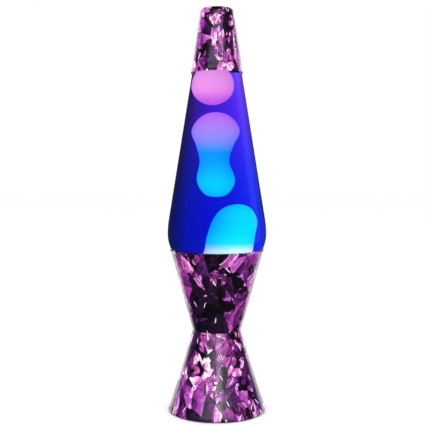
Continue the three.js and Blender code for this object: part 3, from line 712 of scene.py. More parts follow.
@dataclass(frozen=True)
class FadedGlass(BlownGlass):
    """Bottle glass sprayed with a clear stain that fades with height, from pale cyan to pale violet."""

    fade: tuple[tuple[float, str], ...] = ((0.0, "#ffffff"), (1.0, "#ffffff"))
    low_mm: float = 0.0
    high_mm: float = 100.0
    drift_mm: float = 4.0

    def hue(self, tree: Tree, spot: Feed, wave: Feed) -> Feed:
        """Colours the wall by height; the ripple makes the spray's edge drift a little.

        Args:
            tree: The material's node tree.
            spot: Position on the lamp in metres.
            wave: The ripple, from 0 to 1.

        Returns:
            The wall's colour.
        """
        height = add_node(tree, "ShaderNodeSeparateXYZ", {0: spot}).outputs["Z"]
        drifted = add_node(
            tree,
            "ShaderNodeMath",
            {0: wave, 1: self.drift_mm * MM, 2: height},
            operation="MULTIPLY_ADD",
        )
        share = add_node(
            tree,
            "ShaderNodeMapRange",
            {"Value": drifted, "From Min": self.low_mm * MM, "From Max": self.high_mm * MM},
        )
        return paint_ramp(add_node(tree, "ShaderNodeValToRGB", {"Fac": share}), self.fade)


@dataclass(frozen=True)
class DyedLiquid(Finish):
    """Water with glycol and a strong blue dye: clear, and bluer the deeper one looks into it."""

    dye: str = "#9a24fa"
    strength_per_m: float = 56.0

    def shade(self, tree: Tree) -> Feed:
        """Builds the liquid's clear surface.

        Args:
            tree: The material's node tree.

        Returns:
            The shader output.
        """
        return add_node(
            tree,
            "ShaderNodeBsdfPrincipled",
            {
                "Base Color": linear("#ffffff"),
                "Specular Tint": linear("#000000"),
                "Roughness": 0.0,
                "IOR": 1.34,
                "Transmission Weight": 1.0,
            },
        )

    def fill(self, tree: Tree, output: bpy.types.Node) -> None:
        """Fills the liquid with dye.

        Args:
            tree: The material's node tree.
            output: The material's output node.
        """
        volume = add_node(
            tree,
            "ShaderNodeVolumeAbsorption",
            {"Color": linear(self.dye), "Density": self.strength_per_m},
        )
        tree.links.new(volume.outputs["Volume"], output.inputs["Volume"])


@dataclass(frozen=True)
class WaxWithPaintedGlow(Finish):
    """White paraffin, melted, with a painted glow that stands in for the bulb's light from below.

    Its painted glow is even, with no hard shine. The glow is stronger than it looks from outside, because
    the dyed liquid in front takes much of the red and green away.
    """

    stops: tuple[tuple[float, str], ...] = ((0.0, "#ffffff"), (1.0, "#ffffff"))
    body: str = "#898989"
    # Strength of the painted glow.
    glow: float = 3.0
    low_mm: float = 0.0
    high_mm: float = 100.0

    def shade(self, tree: Tree) -> Feed:
        """Builds the wax's painted glow, coloured by height.

        Args:
            tree: The material's node tree.

        Returns:
            The shader output.
        """
        spot = add_node(tree, "ShaderNodeTexCoord").outputs["Object"]
        height = add_node(tree, "ShaderNodeSeparateXYZ", {0: spot}).outputs["Z"]
        mottle = add_node(
            tree, "ShaderNodeTexNoise", {"Vector": spot, "Scale": 60.0, "Detail": 2.0}
        )
        stirred = add_node(
            tree, "ShaderNodeMath", {0: mottle, 1: 3 * MM, 2: height}, operation="MULTIPLY_ADD"
        )
        share = add_node(
            tree,
            "ShaderNodeMapRange",
            {
                "Value": stirred,
                "From Min": (self.low_mm + 1.5) * MM,
                "From Max": (self.high_mm + 1.5) * MM,
            },
        )
        # Painted glow: emission coloured by height that stands in for the bulb's light in the wax.
        light = paint_ramp(add_node(tree, "ShaderNodeValToRGB", {"Fac": share}), self.stops)
        return add_node(
            tree,
            "ShaderNodeBsdfPrincipled",
            {
                "Base Color": linear(self.body),
                "Roughness": 0.5,
                "IOR": 1.43,
                "Specular IOR Level": 0.1,
                "Emission Color": light,
                "Emission Strength": self.glow,
            },
        )


@dataclass(frozen=True)
class HotTungsten(Finish):
    """Drawn tungsten wire, white hot while the lamp is on."""

    glow: float = 30.0

    def shade(self, tree: Tree) -> Feed:
        """Builds the glowing wire, a little cooler in uneven patches.

        Args:
            tree: The material's node tree.

        Returns:
            The shader output.
        """
        spot = add_node(tree, "ShaderNodeTexCoord").outputs["Object"]
        patches = add_node(
            tree, "ShaderNodeTexNoise", {"Vector": spot, "Scale": 700.0, "Detail": 1.0}
        )
        light = paint_ramp(
            add_node(tree, "ShaderNodeValToRGB", {"Fac": patches}),
            [(0.3, "#ffb066"), (0.7, "#ffe2b8")],
        )
        return add_node(
            tree,
            "ShaderNodeBsdfPrincipled",
            {
                "Base Color": linear("#3c3a38"),
                "Metallic": 1.0,
                "Roughness": 0.5,
                "Emission Color": light,
                "Emission Strength": self.glow,
            },
        )


# The film on the three cones, in copies that differ in how many crystals lie in deep shade and in overall
# level, which is painted light and shade: the skirt's copy is lightest, the cup's darkest, and the cap's
# crystals are smaller.
PRINT_SKIRT_PAINTED_LIGHT = CrystalPrint(
    "amethyst film on spun aluminium skirt", gloom=0.15, shade_level=0.5, glow=0.96, shift=35.3
)
PRINT_CUP_PAINTED_SHADE = CrystalPrint(
    "amethyst film on spun aluminium cup", gloom=0.42, shade_level=0.2, glow=0.84, shift=29.1
)
PRINT_CAP = CrystalPrint(
    "amethyst film on spun aluminium cap",
    gloom=0.25,
    shade_level=0.4,
    shift=13.9,
    crystal_mm=13.0,
    shard_mm=7.0,
    typical_r_mm=20.0,
)
# Bare spun aluminium: pale grey with the fine rings that the spinning tool leaves.
BARE_ALUMINIUM = BareMetal(
    "bare spun aluminium", "#b9bcbe", "#d3d5d6", Working.SPUN, mark_mm=0.5, gloss=(0.28, 0.42)
)
# Natural rubber with carbon black, moulded: deep grey, dull, with a fine pebble.
BLACK_RUBBER = MadeSurface(
    "moulded black rubber", "#121214", "#232326", mark_mm=0.7, relief_mm=0.04, gloss=(0.7, 0.9)
)
# ABS from a spark-eroded mould: black with an even satin grain.
BLACK_ABS = MadeSurface(
    "moulded black ABS", "#151517", "#242427", mark_mm=0.5, relief_mm=0.03, gloss=(0.45, 0.62)
)
# Zinc-plated mild steel: cool grey with long rolling marks and small cloudy patches.
ZINC_STEEL = BareMetal(
    "zinc-plated steel", "#a3a8ad", "#c6cacd", Working.BRUSHED, mark_mm=0.5, gloss=(0.3, 0.5)
)
# Pressed yellow brass, tumbled: warm, softly worn, a little tarnished in patches.
BRASS = BareMetal("tumbled brass", "#a9853a", "#dcb866", mark_mm=0.9, gloss=(0.25, 0.45))
# Porcelain dipped in clear glaze: warm white, glassy, slightly wavy.
PORCELAIN = MadeSurface(
    "glazed porcelain",
    "#e6e0d3",
    "#f5f1e8",
    mark_mm=3.0,
    relief_mm=0.03,
    gloss=(0.08, 0.18),
    coat=0.5,
)
# Rolled brass shell, nickel plated: warm silver that follows the drawing direction.
NICKEL = BareMetal(
    "nickel-plated shell", "#b5afa2", "#d8d3c6", Working.SPUN, mark_mm=0.4, gloss=(0.2, 0.36)
)
# Vitrite, the fused black glass between shell and contact: near black and glossy.
BLACK_VITRITE = MadeSurface(
    "fused black glass", "#0d0a10", "#1f1a25", mark_mm=1.2, relief_mm=0.02, gloss=(0.08, 0.2)
)
# Tin-lead solder dome, left as it set: dull grey and lumpy.
SOLDER = BareMetal(
    "set solder", "#84888b", "#a9adb0", mark_mm=0.5, relief_mm=0.05, gloss=(0.4, 0.6)
)
# Drawn spring wire: bright grey with marks along its length.
SPRING_WIRE = BareMetal(
    "drawn spring steel wire", "#86898d", "#b6babd", Working.DRAWN, mark_mm=0.3, gloss=(0.25, 0.4)
)
# Lacquered tinplate: pale gold, printed clear, with fine rolling lines.
TINPLATE = BareMetal(
    "gold-lacquered tinplate",
    "#b08f48",
    "#d9bd7c",
    Working.BRUSHED,
    mark_mm=0.35,
    gloss=(0.22, 0.36),
    coat=0.4,
)
# Soft PVC disc under the closure: off-white and slightly cloudy.
SOFT_PVC = MadeSurface(
    "soft PVC liner", "#dcdcd4", "#f1f1ea", mark_mm=1.0, relief_mm=0.02, gloss=(0.45, 0.6)
)
# White uncoated paper: matt, with a trace of its fibres.
WHITE_PAPER = MadeSurface(
    "white paper", "#f6f6f6", "#ffffff", mark_mm=1.5, relief_mm=0.01, gloss=(0.9, 1.0)
)
# Soda-lime bottle glass, mould-blown: clear, with the stain strongest at its foot.
BOTTLE_GLASS = FadedGlass(
    "bottle glass with a sprayed fade",
    low_mm=140.0,
    high_mm=310.0,
    fade=by_height(
        140,
        310,
        (150, "#b8efff"),
        (156, "#89ebff"),
        (204, "#95e7ff"),
        (237, "#b5d6ff"),
        (254, "#c4c8fe"),
        (268, "#d1bffd"),
        (300, "#d4bcfd"),
    ),
)
# The wall's wetted inside hardly reflects, because liquid and glass bend light nearly alike.
WET_GLASS = replace(BOTTLE_GLASS, name="wetted inside of the bottle glass", shine="#000000")
# Soft glass blown thin: clear and nearly free of ripple.
BULB_GLASS = BlownGlass("thin blown bulb glass", "#fbfdff", ripple_mm=9.0, relief_mm=0.003)
# Glycol and water with blue dye: clear, deep blue.
BLUE_LIQUID = DyedLiquid("blue dyed glycol and water")
# Wax over the lamp, its colour a painted glow: a painted pool of near-white light where the bulb shines
# into it, then cyan.
WAX_CYAN = WaxWithPaintedGlow(
    "melted wax lit from below",
    glow=5.0,
    low_mm=140,
    high_mm=190,
    stops=by_height(
        140,
        190,
        (141, "#48cc80"),
        (147.5, "#9ce481"),
        (152.5, "#fff081"),
        (157, "#24ea81"),
        (163.4, "#00e182"),
        (174.5, "#00cf81"),
        (185.5, "#00db81"),
    ),
)
# The rising blob, its colour a painted glow: cyan at its foot, violet-blue at its head.
WAX_BLUE = WaxWithPaintedGlow(
    "melted wax half way up",
    glow=3.65,
    low_mm=196,
    high_mm=273,
    stops=by_height(
        196,
        273,
        (204, "#00fb94"),
        (215, "#00e294"),
        (226, "#00ca94"),
        (237, "#00b392"),
        (246.3, "#839c92"),
        (253.7, "#948f91"),
        (261, "#9f878e"),
        (268.4, "#a9838e"),
    ),
)
# The cooled blob under the cap, its colour a painted glow: pink, deeper towards its underside.
WAX_PINK = WaxWithPaintedGlow(
    "melted wax at the top",
    glow=2.0,
    low_mm=279,
    high_mm=318,
    stops=by_height(
        279, 318, (284, "#ed94ad"), (292, "#feb6b3"), (300, "#f4b9b3"), (310, "#eeb6ae")
    ),
)
# Drawn tungsten at working heat: too bright to show its surface.
FILAMENT = HotTungsten("white-hot tungsten wire")


# ---------------------------------------------------------------- outlines and meshes
def softened(corners: Sequence[tuple[float, ...]], steps: int = 5) -> list[Point]:
    """Rounds the corners of a closed outline.

    Args:
        corners: Points of radius and height, each with an optional third value, the rounding.
        steps: Points on each rounded corner, less one.

    Returns:
        The outline's points, in the same order.
    """
    outline: list[Point] = []
    for i, corner in enumerate(corners):
        here = Vector(corner[:2])
        if len(corner) < 3 or corner[2] <= 0:
            outline.append((here.x, here.y))
            continue
        before = Vector(corners[i - 1][:2]) - here
        after = Vector(corners[(i + 1) % len(corners)][:2]) - here
        half = before.angle(after) / 2
        reach = min(corner[2] / math.tan(half), 0.48 * before.length, 0.48 * after.length)
        start = here + before.normalized() * reach
        end = here + after.normalized() * reach
        for k in range(steps + 1):
            t = k / steps
            at = start * (1 - t) ** 2 + here * (2 * t * (1 - t)) + end * t**2
            outline.append((at.x, at.y))
    return outline


def spread(low: float, high: float, steps: int) -> list[float]:
    """Returns evenly spaced values from low to high, both included."""
    return [low + (high - low) * i / steps for i in range(steps + 1)]


def lathe(name: str, outline: Sequence[Point], faces: int = ROUND_FACES) -> Mesh:
    """Turns an outline about Z into a closed mesh that faces outwards.

    Args:
        name: The mesh's name.
        outline: Radius and height of each point in millimetres. It closes on itself, or on the axis where
            both its ends are there.
        faces: Number of faces round the axis.

    Returns:
        The mesh, in metres.
    """
    points = list(outline)
    on_axis = points[0][0] < 1e-6 and points[-1][0] < 1e-6
    pairs = zip(points, points[1:] + points[:1])
    if sum(a[0] * b[1] - b[0] * a[1] for a, b in pairs) < 0:
        points.reverse()
    vertices: list[tuple[float, float, float]] = []
    rings: list[list[int]] = []
    for radius, height in points:
        start = len(vertices)
        if radius < 1e-6:
            vertices.append((0.0, 0.0, height * MM))
            rings.append([start] * faces)
            continue
        for j in range(faces):
            turn = 2 * math.pi * j / faces
            vertices.append(
                (radius * math.cos(turn) * MM, radius * math.sin(turn) * MM, height * MM)
            )
        rings.append(list(range(start, start + faces)))
    if not on_axis:
        rings.append(rings[0])
    polygons = []
    for low, high in zip(rings, rings[1:]):
        for j in range(faces):
            k = (j + 1) % faces
            corners = [low[j], low[k], high[k], high[j]]
            polygon = [v for n, v in enumerate(corners) if v not in corners[:n]]
            if len(polygon) > 2:
                polygons.append(polygon)
    mesh = bpy.data.meshes.new(name)
    mesh.from_pydata(vertices, [], polygons)
    mesh.validate()
    return mesh


def rod(name: str, radius: float, reach: float, faces: int) -> Mesh:
    """Returns a plain round tool for boring, along Z and as far to both sides of the origin."""
    return lathe(name, [(0, -reach), (radius, -reach), (radius, reach), (0, reach)], faces)


def loft(name: str, sections: Sequence[tuple[float, float, float]], faces: int) -> Mesh:
    """Joins round level sections into one closed body.

    Args:
        name: The mesh's name.
        sections: Height, sideways offset and radius of each section in millimetres, from the bottom up.
        faces: Number of faces round the body.

    Returns:
        The mesh, in metres.
    """
    turns = [2 * math.pi * j / faces for j in range(faces)]
    vertices = [
        ((offset + radius * math.cos(a)) * MM, radius * math.sin(a) * MM, height * MM)
        for height, offset, radius in sections
        for a in turns
    ]
    ends = [sections[0], sections[-1]]
    vertices += [(offset * MM, 0.0, height * MM) for height, offset, _ in ends]
    bottom, top, last = len(vertices) - 2, len(vertices) - 1, (len(sections) - 1) * faces
    polygons = []
    for j in range(faces):
        k = (j + 1) % faces
        polygons += [(bottom, k, j), (top, last + j, last + k)]
        polygons += [(i + j, i + k, i + faces + k, i + faces + j) for i in range(0, last, faces)]
    mesh = bpy.data.meshes.new(name)
    mesh.from_pydata(vertices, [], polygons)
    mesh.validate()
    return mesh


def baked(source: bpy.types.Object) -> Mesh:
    """Keeps an object's evaluated shape as a plain mesh, and removes the object.

    Args:
        source: The object with its modifiers on.

    Returns:
        The plain mesh.
    """
    bpy.context.view_layer.update()
    graph = bpy.context.evaluated_depsgraph_get()
    mesh = bpy.data.meshes.new_from_object(source.evaluated_get(graph))
    bpy.data.objects.remove(source)
    return mesh


def bored(mesh: Mesh, tool: Mesh) -> Mesh:
    """Cuts one closed mesh out of another.

    Args:
        mesh: The body that is cut.
        tool: The shape that is taken away.

    Returns:
        The cut mesh.
    """
    body = bpy.data.objects.new(mesh.name, mesh)
    cutter = bpy.data.objects.new(tool.name, tool)
    for obj in (body, cutter):
        bpy.context.scene.collection.objects.link(obj)
    cut = body.modifiers.new("bore", "BOOLEAN")
    cut.operation, cut.solver, cut.object = "DIFFERENCE", "EXACT", cutter
    result = baked(body)
    bpy.data.objects.remove(cutter)
    return result


def looks_in(polygon: bpy.types.MeshPolygon, slack: float = 0.2) -> bool:
    """Returns whether a face looks towards the Z axis, by more than a slack."""
    return polygon.normal.xy.dot(polygon.center.xy.normalized()) < -slack


def extent(node: str) -> tuple[Vector, Vector]:
    """Returns the lowest and highest corner of a CAD node in millimetres."""
    low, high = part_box(node)
    return low / MM, high / MM


@dataclass
class Piece:
    """One finished piece of the lamp, and the CAD nodes that it stands for."""

    name: str
    body: str
    slot: str
    stands_for: tuple[str, ...]

    def place(self, mesh: Mesh, *finishes: Finish) -> bpy.types.Object:
        """Shows a mesh as this piece, dressed and riding on its body.

        Args:
            mesh: The finished mesh, in place.
            *finishes: One finish for each material slot of the mesh.

        Returns:
            The piece's object.
        """
        mesh.materials.clear()
        for finish in finishes:
            mesh.materials.append(finish.material())
        mesh.shade_smooth()
        mesh.set_sharp_from_angle(angle=SHARP_EDGE)
        mesh.name = self.name
        obj = bpy.data.objects.new(self.name, mesh)
        bpy.context.scene.collection.objects.link(obj)
        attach(obj, self.body)
        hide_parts(*self.stands_for)
        log.info("%s: %d faces on %s", self.name, len(mesh.polygons), self.body)
        return obj


# ---------------------------------------------------------------- geometry trees
class Grower:
    """A geometry tree that grows a mesh from a host mesh and named inputs."""

    def __init__(self, name: str, sizes: Mapping[str, float | int]) -> None:
        """Starts a tree with one input for each size.

        Args:
            name: The tree's name.
            sizes: Each input's name and value; whole numbers stay whole.
        """
        self.sizes = dict(sizes)
        self.tree = bpy.data.node_groups.new(name, "GeometryNodeTree")
        face = self.tree.interface
        face.new_socket(name="Geometry", in_out="INPUT", socket_type="NodeSocketGeometry")
        for size, value in self.sizes.items():
            kind = "NodeSocketInt" if isinstance(value, int) else "NodeSocketFloat"
            face.new_socket(name=size, in_out="INPUT", socket_type=kind)
        face.new_socket(name="Finish", in_out="INPUT", socket_type="NodeSocketMaterial")
        face.new_socket(name="Geometry", in_out="OUTPUT", socket_type="NodeSocketGeometry")
        self.given = add_node(self.tree, "NodeGroupInput").outputs

    def pushed_out(self, spot: Feed, amount: Feed) -> Feed:
        """Moves the host's points away from the Z axis.

        Args:
            spot: The points' positions.
            amount: How far each moves, in metres.

        Returns:
            The changed geometry.
        """
        flat = add_node(
            self.tree, "ShaderNodeVectorMath", {0: spot, 1: (1.0, 1.0, 0.0)}, operation="MULTIPLY"
        )
        outward = add_node(self.tree, "ShaderNodeVectorMath", {0: flat}, operation="NORMALIZE")
        shift = add_node(
            self.tree, "ShaderNodeVectorMath", {0: outward, "Scale": amount}, operation="SCALE"
        )
        return add_node(
            self.tree,
            "GeometryNodeSetPosition",
            {"Geometry": self.given["Geometry"], "Offset": shift},
        )

    def grow(self, shape: Feed, host: Mesh, finish: Finish) -> Mesh:
        """Ends the tree, runs it on a host mesh and keeps the result.

        Args:
            shape: The tree's final geometry.
            host: The mesh that the tree starts from.
            finish: The finish of the grown mesh.

        Returns:
            The grown plain mesh.
        """
        real = add_node(self.tree, "GeometryNodeRealizeInstances", {"Geometry": shape})
        dressed = add_node(
            self.tree,
            "GeometryNodeSetMaterial",
            {"Geometry": real, "Material": self.given["Finish"]},
        )
        add_node(self.tree, "NodeGroupOutput", {"Geometry": dressed})
        obj = bpy.data.objects.new(self.tree.name, host)
        bpy.context.scene.collection.objects.link(obj)
        modifier = obj.modifiers.new(self.tree.name, "NODES")
        modifier.node_group = self.tree
        for item in self.tree.interface.items_tree:
            if item.in_out == "INPUT" and item.name in self.sizes:
                modifier[item.identifier] = self.sizes[item.name]
            if item.in_out == "INPUT" and item.name == "Finish":
                modifier[item.identifier] = finish.material()
        return baked(obj)


def ring_coil(
    ring_mm: float, coil_mm: float, wire_mm: float, turns: int, height_mm: float, finish: Finish
) -> Mesh:
    """Grows a close coil of wire bent round into a ring, just short of a full turn.

    Args:
        ring_mm: Radius of the ring that the coil follows.
        coil_mm: Radius of the coil, to the wire's centre.
        wire_mm: Radius of the wire.
        turns: Turns of wire in the ring.
        height_mm: Height of the ring's centre.
        finish: The wire's finish.

    Returns:
        The coil's mesh.
    """
    closeness, steps_per_turn = 0.985, 20
    sizes = {
        "Ring Radius": ring_mm * MM,
        "Coil Radius": coil_mm * MM,
        "Wire Radius": wire_mm * MM,
        "Turns": turns,
        "Height": height_mm * MM,
    }
    grower = Grower("coil of wire in a ring", sizes)
    tree, given = grower.tree, grower.given
    line = add_node(tree, "GeometryNodeCurvePrimitiveLine")
    fine = add_node(
        tree, "GeometryNodeResampleCurve", {"Curve": line, "Count": turns * steps_per_turn}
    )
    share = add_node(tree, "GeometryNodeSplineParameter")
    around = add_node(
        tree, "ShaderNodeMath", {0: share, 1: 2 * math.pi * closeness}, operation="MULTIPLY"
    )
    turn = add_node(tree, "ShaderNodeMath", {0: around, 1: given["Turns"]}, operation="MULTIPLY")
    radius = add_node(
        tree,
        "ShaderNodeMath",
        {
            0: add_node(tree, "ShaderNodeMath", {0: turn}, operation="COSINE"),
            1: given["Coil Radius"],
            2: given["Ring Radius"],
        },
        operation="MULTIPLY_ADD",
    )
    height = add_node(
        tree,
        "ShaderNodeMath",
        {
            0: add_node(tree, "ShaderNodeMath", {0: turn}, operation="SINE"),
            1: given["Coil Radius"],
            2: given["Height"],
        },
        operation="MULTIPLY_ADD",
    )
    spot = add_node(
        tree,
        "ShaderNodeCombineXYZ",
        {
            "X": add_node(
                tree,
                "ShaderNodeMath",
                {0: radius, 1: add_node(tree, "ShaderNodeMath", {0: around}, operation="COSINE")},
                operation="MULTIPLY",
            ),
            "Y": add_node(
                tree,
                "ShaderNodeMath",
                {0: radius, 1: add_node(tree, "ShaderNodeMath", {0: around}, operation="SINE")},
                operation="MULTIPLY",
            ),
            "Z": height,
        },
    )
    bent = add_node(tree, "GeometryNodeSetPosition", {"Geometry": fine, "Position": spot})
    section = add_node(
        tree, "GeometryNodeCurvePrimitiveCircle", {"Resolution": 10, "Radius": given["Wire Radius"]}
    )
    wire = add_node(
        tree,
        "GeometryNodeCurveToMesh",
        {"Curve": bent, "Profile Curve": section, "Fill Caps": True},
    )
    return grower.grow(wire, bpy.data.meshes.new("wire"), finish)


def threaded(host: Mesh, low_mm: float, high_mm: float, finish: Finish) -> Mesh:
    """Rolls a right-handed thread into a plain shell: every point moves in along a helix.

    Args:
        host: The plain shell at the thread's crest size.
        low_mm: Height where the thread starts.
        high_mm: Height where it ends.
        finish: The shell's finish.

    Returns:
        The threaded mesh.
    """
    sizes = {
        "Pitch": THREAD_PITCH * MM,
        "Depth": THREAD_DEPTH * MM,
        "Low": low_mm * MM,
        "High": high_mm * MM,
    }
    grower = Grower("rolled thread", sizes)
    tree, given = grower.tree, grower.given
    spot = add_node(tree, "GeometryNodeInputPosition")
    axes = add_node(tree, "ShaderNodeSeparateXYZ", {0: spot}).outputs
    rise = add_node(tree, "ShaderNodeMath", {0: axes["Z"], 1: given["Pitch"]}, operation="DIVIDE")
    turn = add_node(tree, "ShaderNodeMath", {0: axes["Y"], 1: axes["X"]}, operation="ARCTAN2")
    phase = add_node(
        tree,
        "ShaderNodeMath",
        {
            0: add_node(tree, "ShaderNodeMath", {0: rise, 1: 2 * math.pi}, operation="MULTIPLY"),
            1: turn,
        },
        operation="SUBTRACT",
    )
    wave = add_node(
        tree,
        "ShaderNodeMath",
        {0: add_node(tree, "ShaderNodeMath", {0: phase}, operation="COSINE"), 1: 0.5, 2: -0.5},
        operation="MULTIPLY_ADD",
    )
    run_in = add_node(tree, "ShaderNodeMath", {0: given["Low"], 1: given["Pitch"]}, operation="ADD")
    run_out = add_node(
        tree, "ShaderNodeMath", {0: given["High"], 1: given["Pitch"]}, operation="SUBTRACT"
    )
    starts = add_node(
        tree,
        "ShaderNodeMapRange",
        {"Value": axes["Z"], "From Min": given["Low"], "From Max": run_in},
        interpolation_type="SMOOTHSTEP",
    )
    ends = add_node(
        tree,
        "ShaderNodeMapRange",
        {"Value": axes["Z"], "From Min": given["High"], "From Max": run_out},
        interpolation_type="SMOOTHSTEP",
    )
    gate = add_node(tree, "ShaderNodeMath", {0: starts, 1: ends}, operation="MULTIPLY")
    amount = add_node(
        tree,
        "ShaderNodeMath",
        {
            0: add_node(tree, "ShaderNodeMath", {0: wave, 1: gate}, operation="MULTIPLY"),
            1: given["Depth"],
        },
        operation="MULTIPLY",
    )
    return grower.grow(grower.pushed_out(spot, amount), host, finish)


def fluted(
    host: Mesh, flutes: int, depth_mm: float, low_mm: float, high_mm: float, finish: Finish
) -> Mesh:
    """Draws a plain closure's skirt out into flutes, deepest at its edge.

    Args:
        host: The plain closure.
        flutes: Number of flutes round the closure.
        depth_mm: How far a flute stands out at the edge.
        low_mm: Height of the edge.
        high_mm: Height where the flutes fade out.
        finish: The closure's finish.

    Returns:
        The fluted mesh.
    """
    sizes = {"Flutes": flutes, "Depth": depth_mm * MM, "Low": low_mm * MM, "High": high_mm * MM}
    grower = Grower("crimped flutes", sizes)
    tree, given = grower.tree, grower.given
    spot = add_node(tree, "GeometryNodeInputPosition")
    axes = add_node(tree, "ShaderNodeSeparateXYZ", {0: spot}).outputs
    turn = add_node(
        tree,
        "ShaderNodeMath",
        {
            0: add_node(tree, "ShaderNodeMath", {0: axes["Y"], 1: axes["X"]}, operation="ARCTAN2"),
            1: given["Flutes"],
        },
        operation="MULTIPLY",
    )
    wave = add_node(
        tree,
        "ShaderNodeMath",
        {0: add_node(tree, "ShaderNodeMath", {0: turn}, operation="COSINE"), 1: 0.5, 2: 0.5},
        operation="MULTIPLY_ADD",
    )
    down = add_node(
        tree,
        "ShaderNodeMapRange",
        {"Value": axes["Z"], "From Min": given["High"], "From Max": given["Low"]},
    )
    amount = add_node(
        tree,
        "ShaderNodeMath",
        {
            0: add_node(tree, "ShaderNodeMath", {0: wave, 1: down}, operation="MULTIPLY"),
            1: given["Depth"],
        },
        operation="MULTIPLY",
    )
    return grower.grow(grower.pushed_out(spot, amount), host, finish)


def slotted(
    host: Mesh, slots: int, width_mm: float, length_mm: float, circle_mm: float, finish: Finish
) -> Mesh:
    """Cuts round-ended slots through a disc, all pointing at its centre.

    Args:
        host: The plain disc.
        slots: Number of slots.
        width_mm: Width of a slot.
        length_mm: Length of a slot.
        circle_mm: Radius of the circle through the slots' middles.
        finish: The disc's finish.

    Returns:
        The slotted mesh.
    """
    sizes = {
        "Slots": slots,
        "Width": width_mm * MM,
        "Length": length_mm * MM,
        "Circle Radius": circle_mm * MM,
    }
    grower = Grower("vent slots", sizes)
    tree, given = grower.tree, grower.given
    box = add_node(
        tree,
        "GeometryNodeCurvePrimitiveQuadrilateral",
        {"Width": given["Length"], "Height": given["Width"]},
    )
    rounding = add_node(tree, "ShaderNodeMath", {0: given["Width"], 1: 0.499}, operation="MULTIPLY")
    outline = add_node(
        tree, "GeometryNodeFilletCurve", {"Curve": box, "Count": 6, "Radius": rounding}, mode="POLY"
    )
    upright = add_node(
        tree,
        "GeometryNodeCurvePrimitiveLine",
        {"Start": (0.0, 0.0, -0.01), "End": (0.0, 0.0, 0.01)},
    )
    punch = add_node(
        tree,
        "GeometryNodeCurveToMesh",
        {"Curve": upright, "Profile Curve": outline, "Fill Caps": True},
    )
    places = add_node(
        tree,
        "GeometryNodeMeshCircle",
        {"Vertices": given["Slots"], "Radius": given["Circle Radius"]},
    )
    index = add_node(tree, "GeometryNodeInputIndex")
    turn = add_node(
        tree,
        "ShaderNodeMath",
        {
            0: add_node(tree, "ShaderNodeMath", {0: index, 1: 2 * math.pi}, operation="MULTIPLY"),
            1: given["Slots"],
        },
        operation="DIVIDE",
    )
    pointing = add_node(tree, "ShaderNodeCombineXYZ", {"Z": turn})
    punches = add_node(
        tree,
        "GeometryNodeInstanceOnPoints",
        {"Points": places, "Instance": punch, "Rotation": pointing},
    )
    solid = add_node(tree, "GeometryNodeRealizeInstances", {"Geometry": punches})
    cut = add_node(
        tree,
        "GeometryNodeMeshBoolean",
        {"Mesh 1": given["Geometry"], "Mesh 2": solid},
        operation="DIFFERENCE",
        solver="EXACT",
    )
    return grower.grow(cut, host, finish)


def repeated_round(host: Mesh, count: int, circle_mm: float, finish: Finish) -> Mesh:
    """Repeats a small part evenly on a circle round Z, half a step off the X axis.

    Args:
        host: The part, standing on the axis.
        count: Number of copies.
        circle_mm: Radius of the circle.
        finish: The parts' finish.

    Returns:
        One mesh with all copies.
    """
    grower = Grower("parts on a circle", {"Count": count, "Circle Radius": circle_mm * MM})
    tree, given = grower.tree, grower.given
    places = add_node(
        tree,
        "GeometryNodeMeshCircle",
        {"Vertices": given["Count"], "Radius": given["Circle Radius"]},
    )
    step = add_node(tree, "ShaderNodeMath", {0: math.pi, 1: given["Count"]}, operation="DIVIDE")
    half_step = add_node(tree, "ShaderNodeCombineXYZ", {"Z": step})
    turned = add_node(tree, "GeometryNodeTransform", {"Geometry": places, "Rotation": half_step})
    copies = add_node(
        tree, "GeometryNodeInstanceOnPoints", {"Points": turned, "Instance": given["Geometry"]}
    )
    return grower.grow(copies, host, finish)


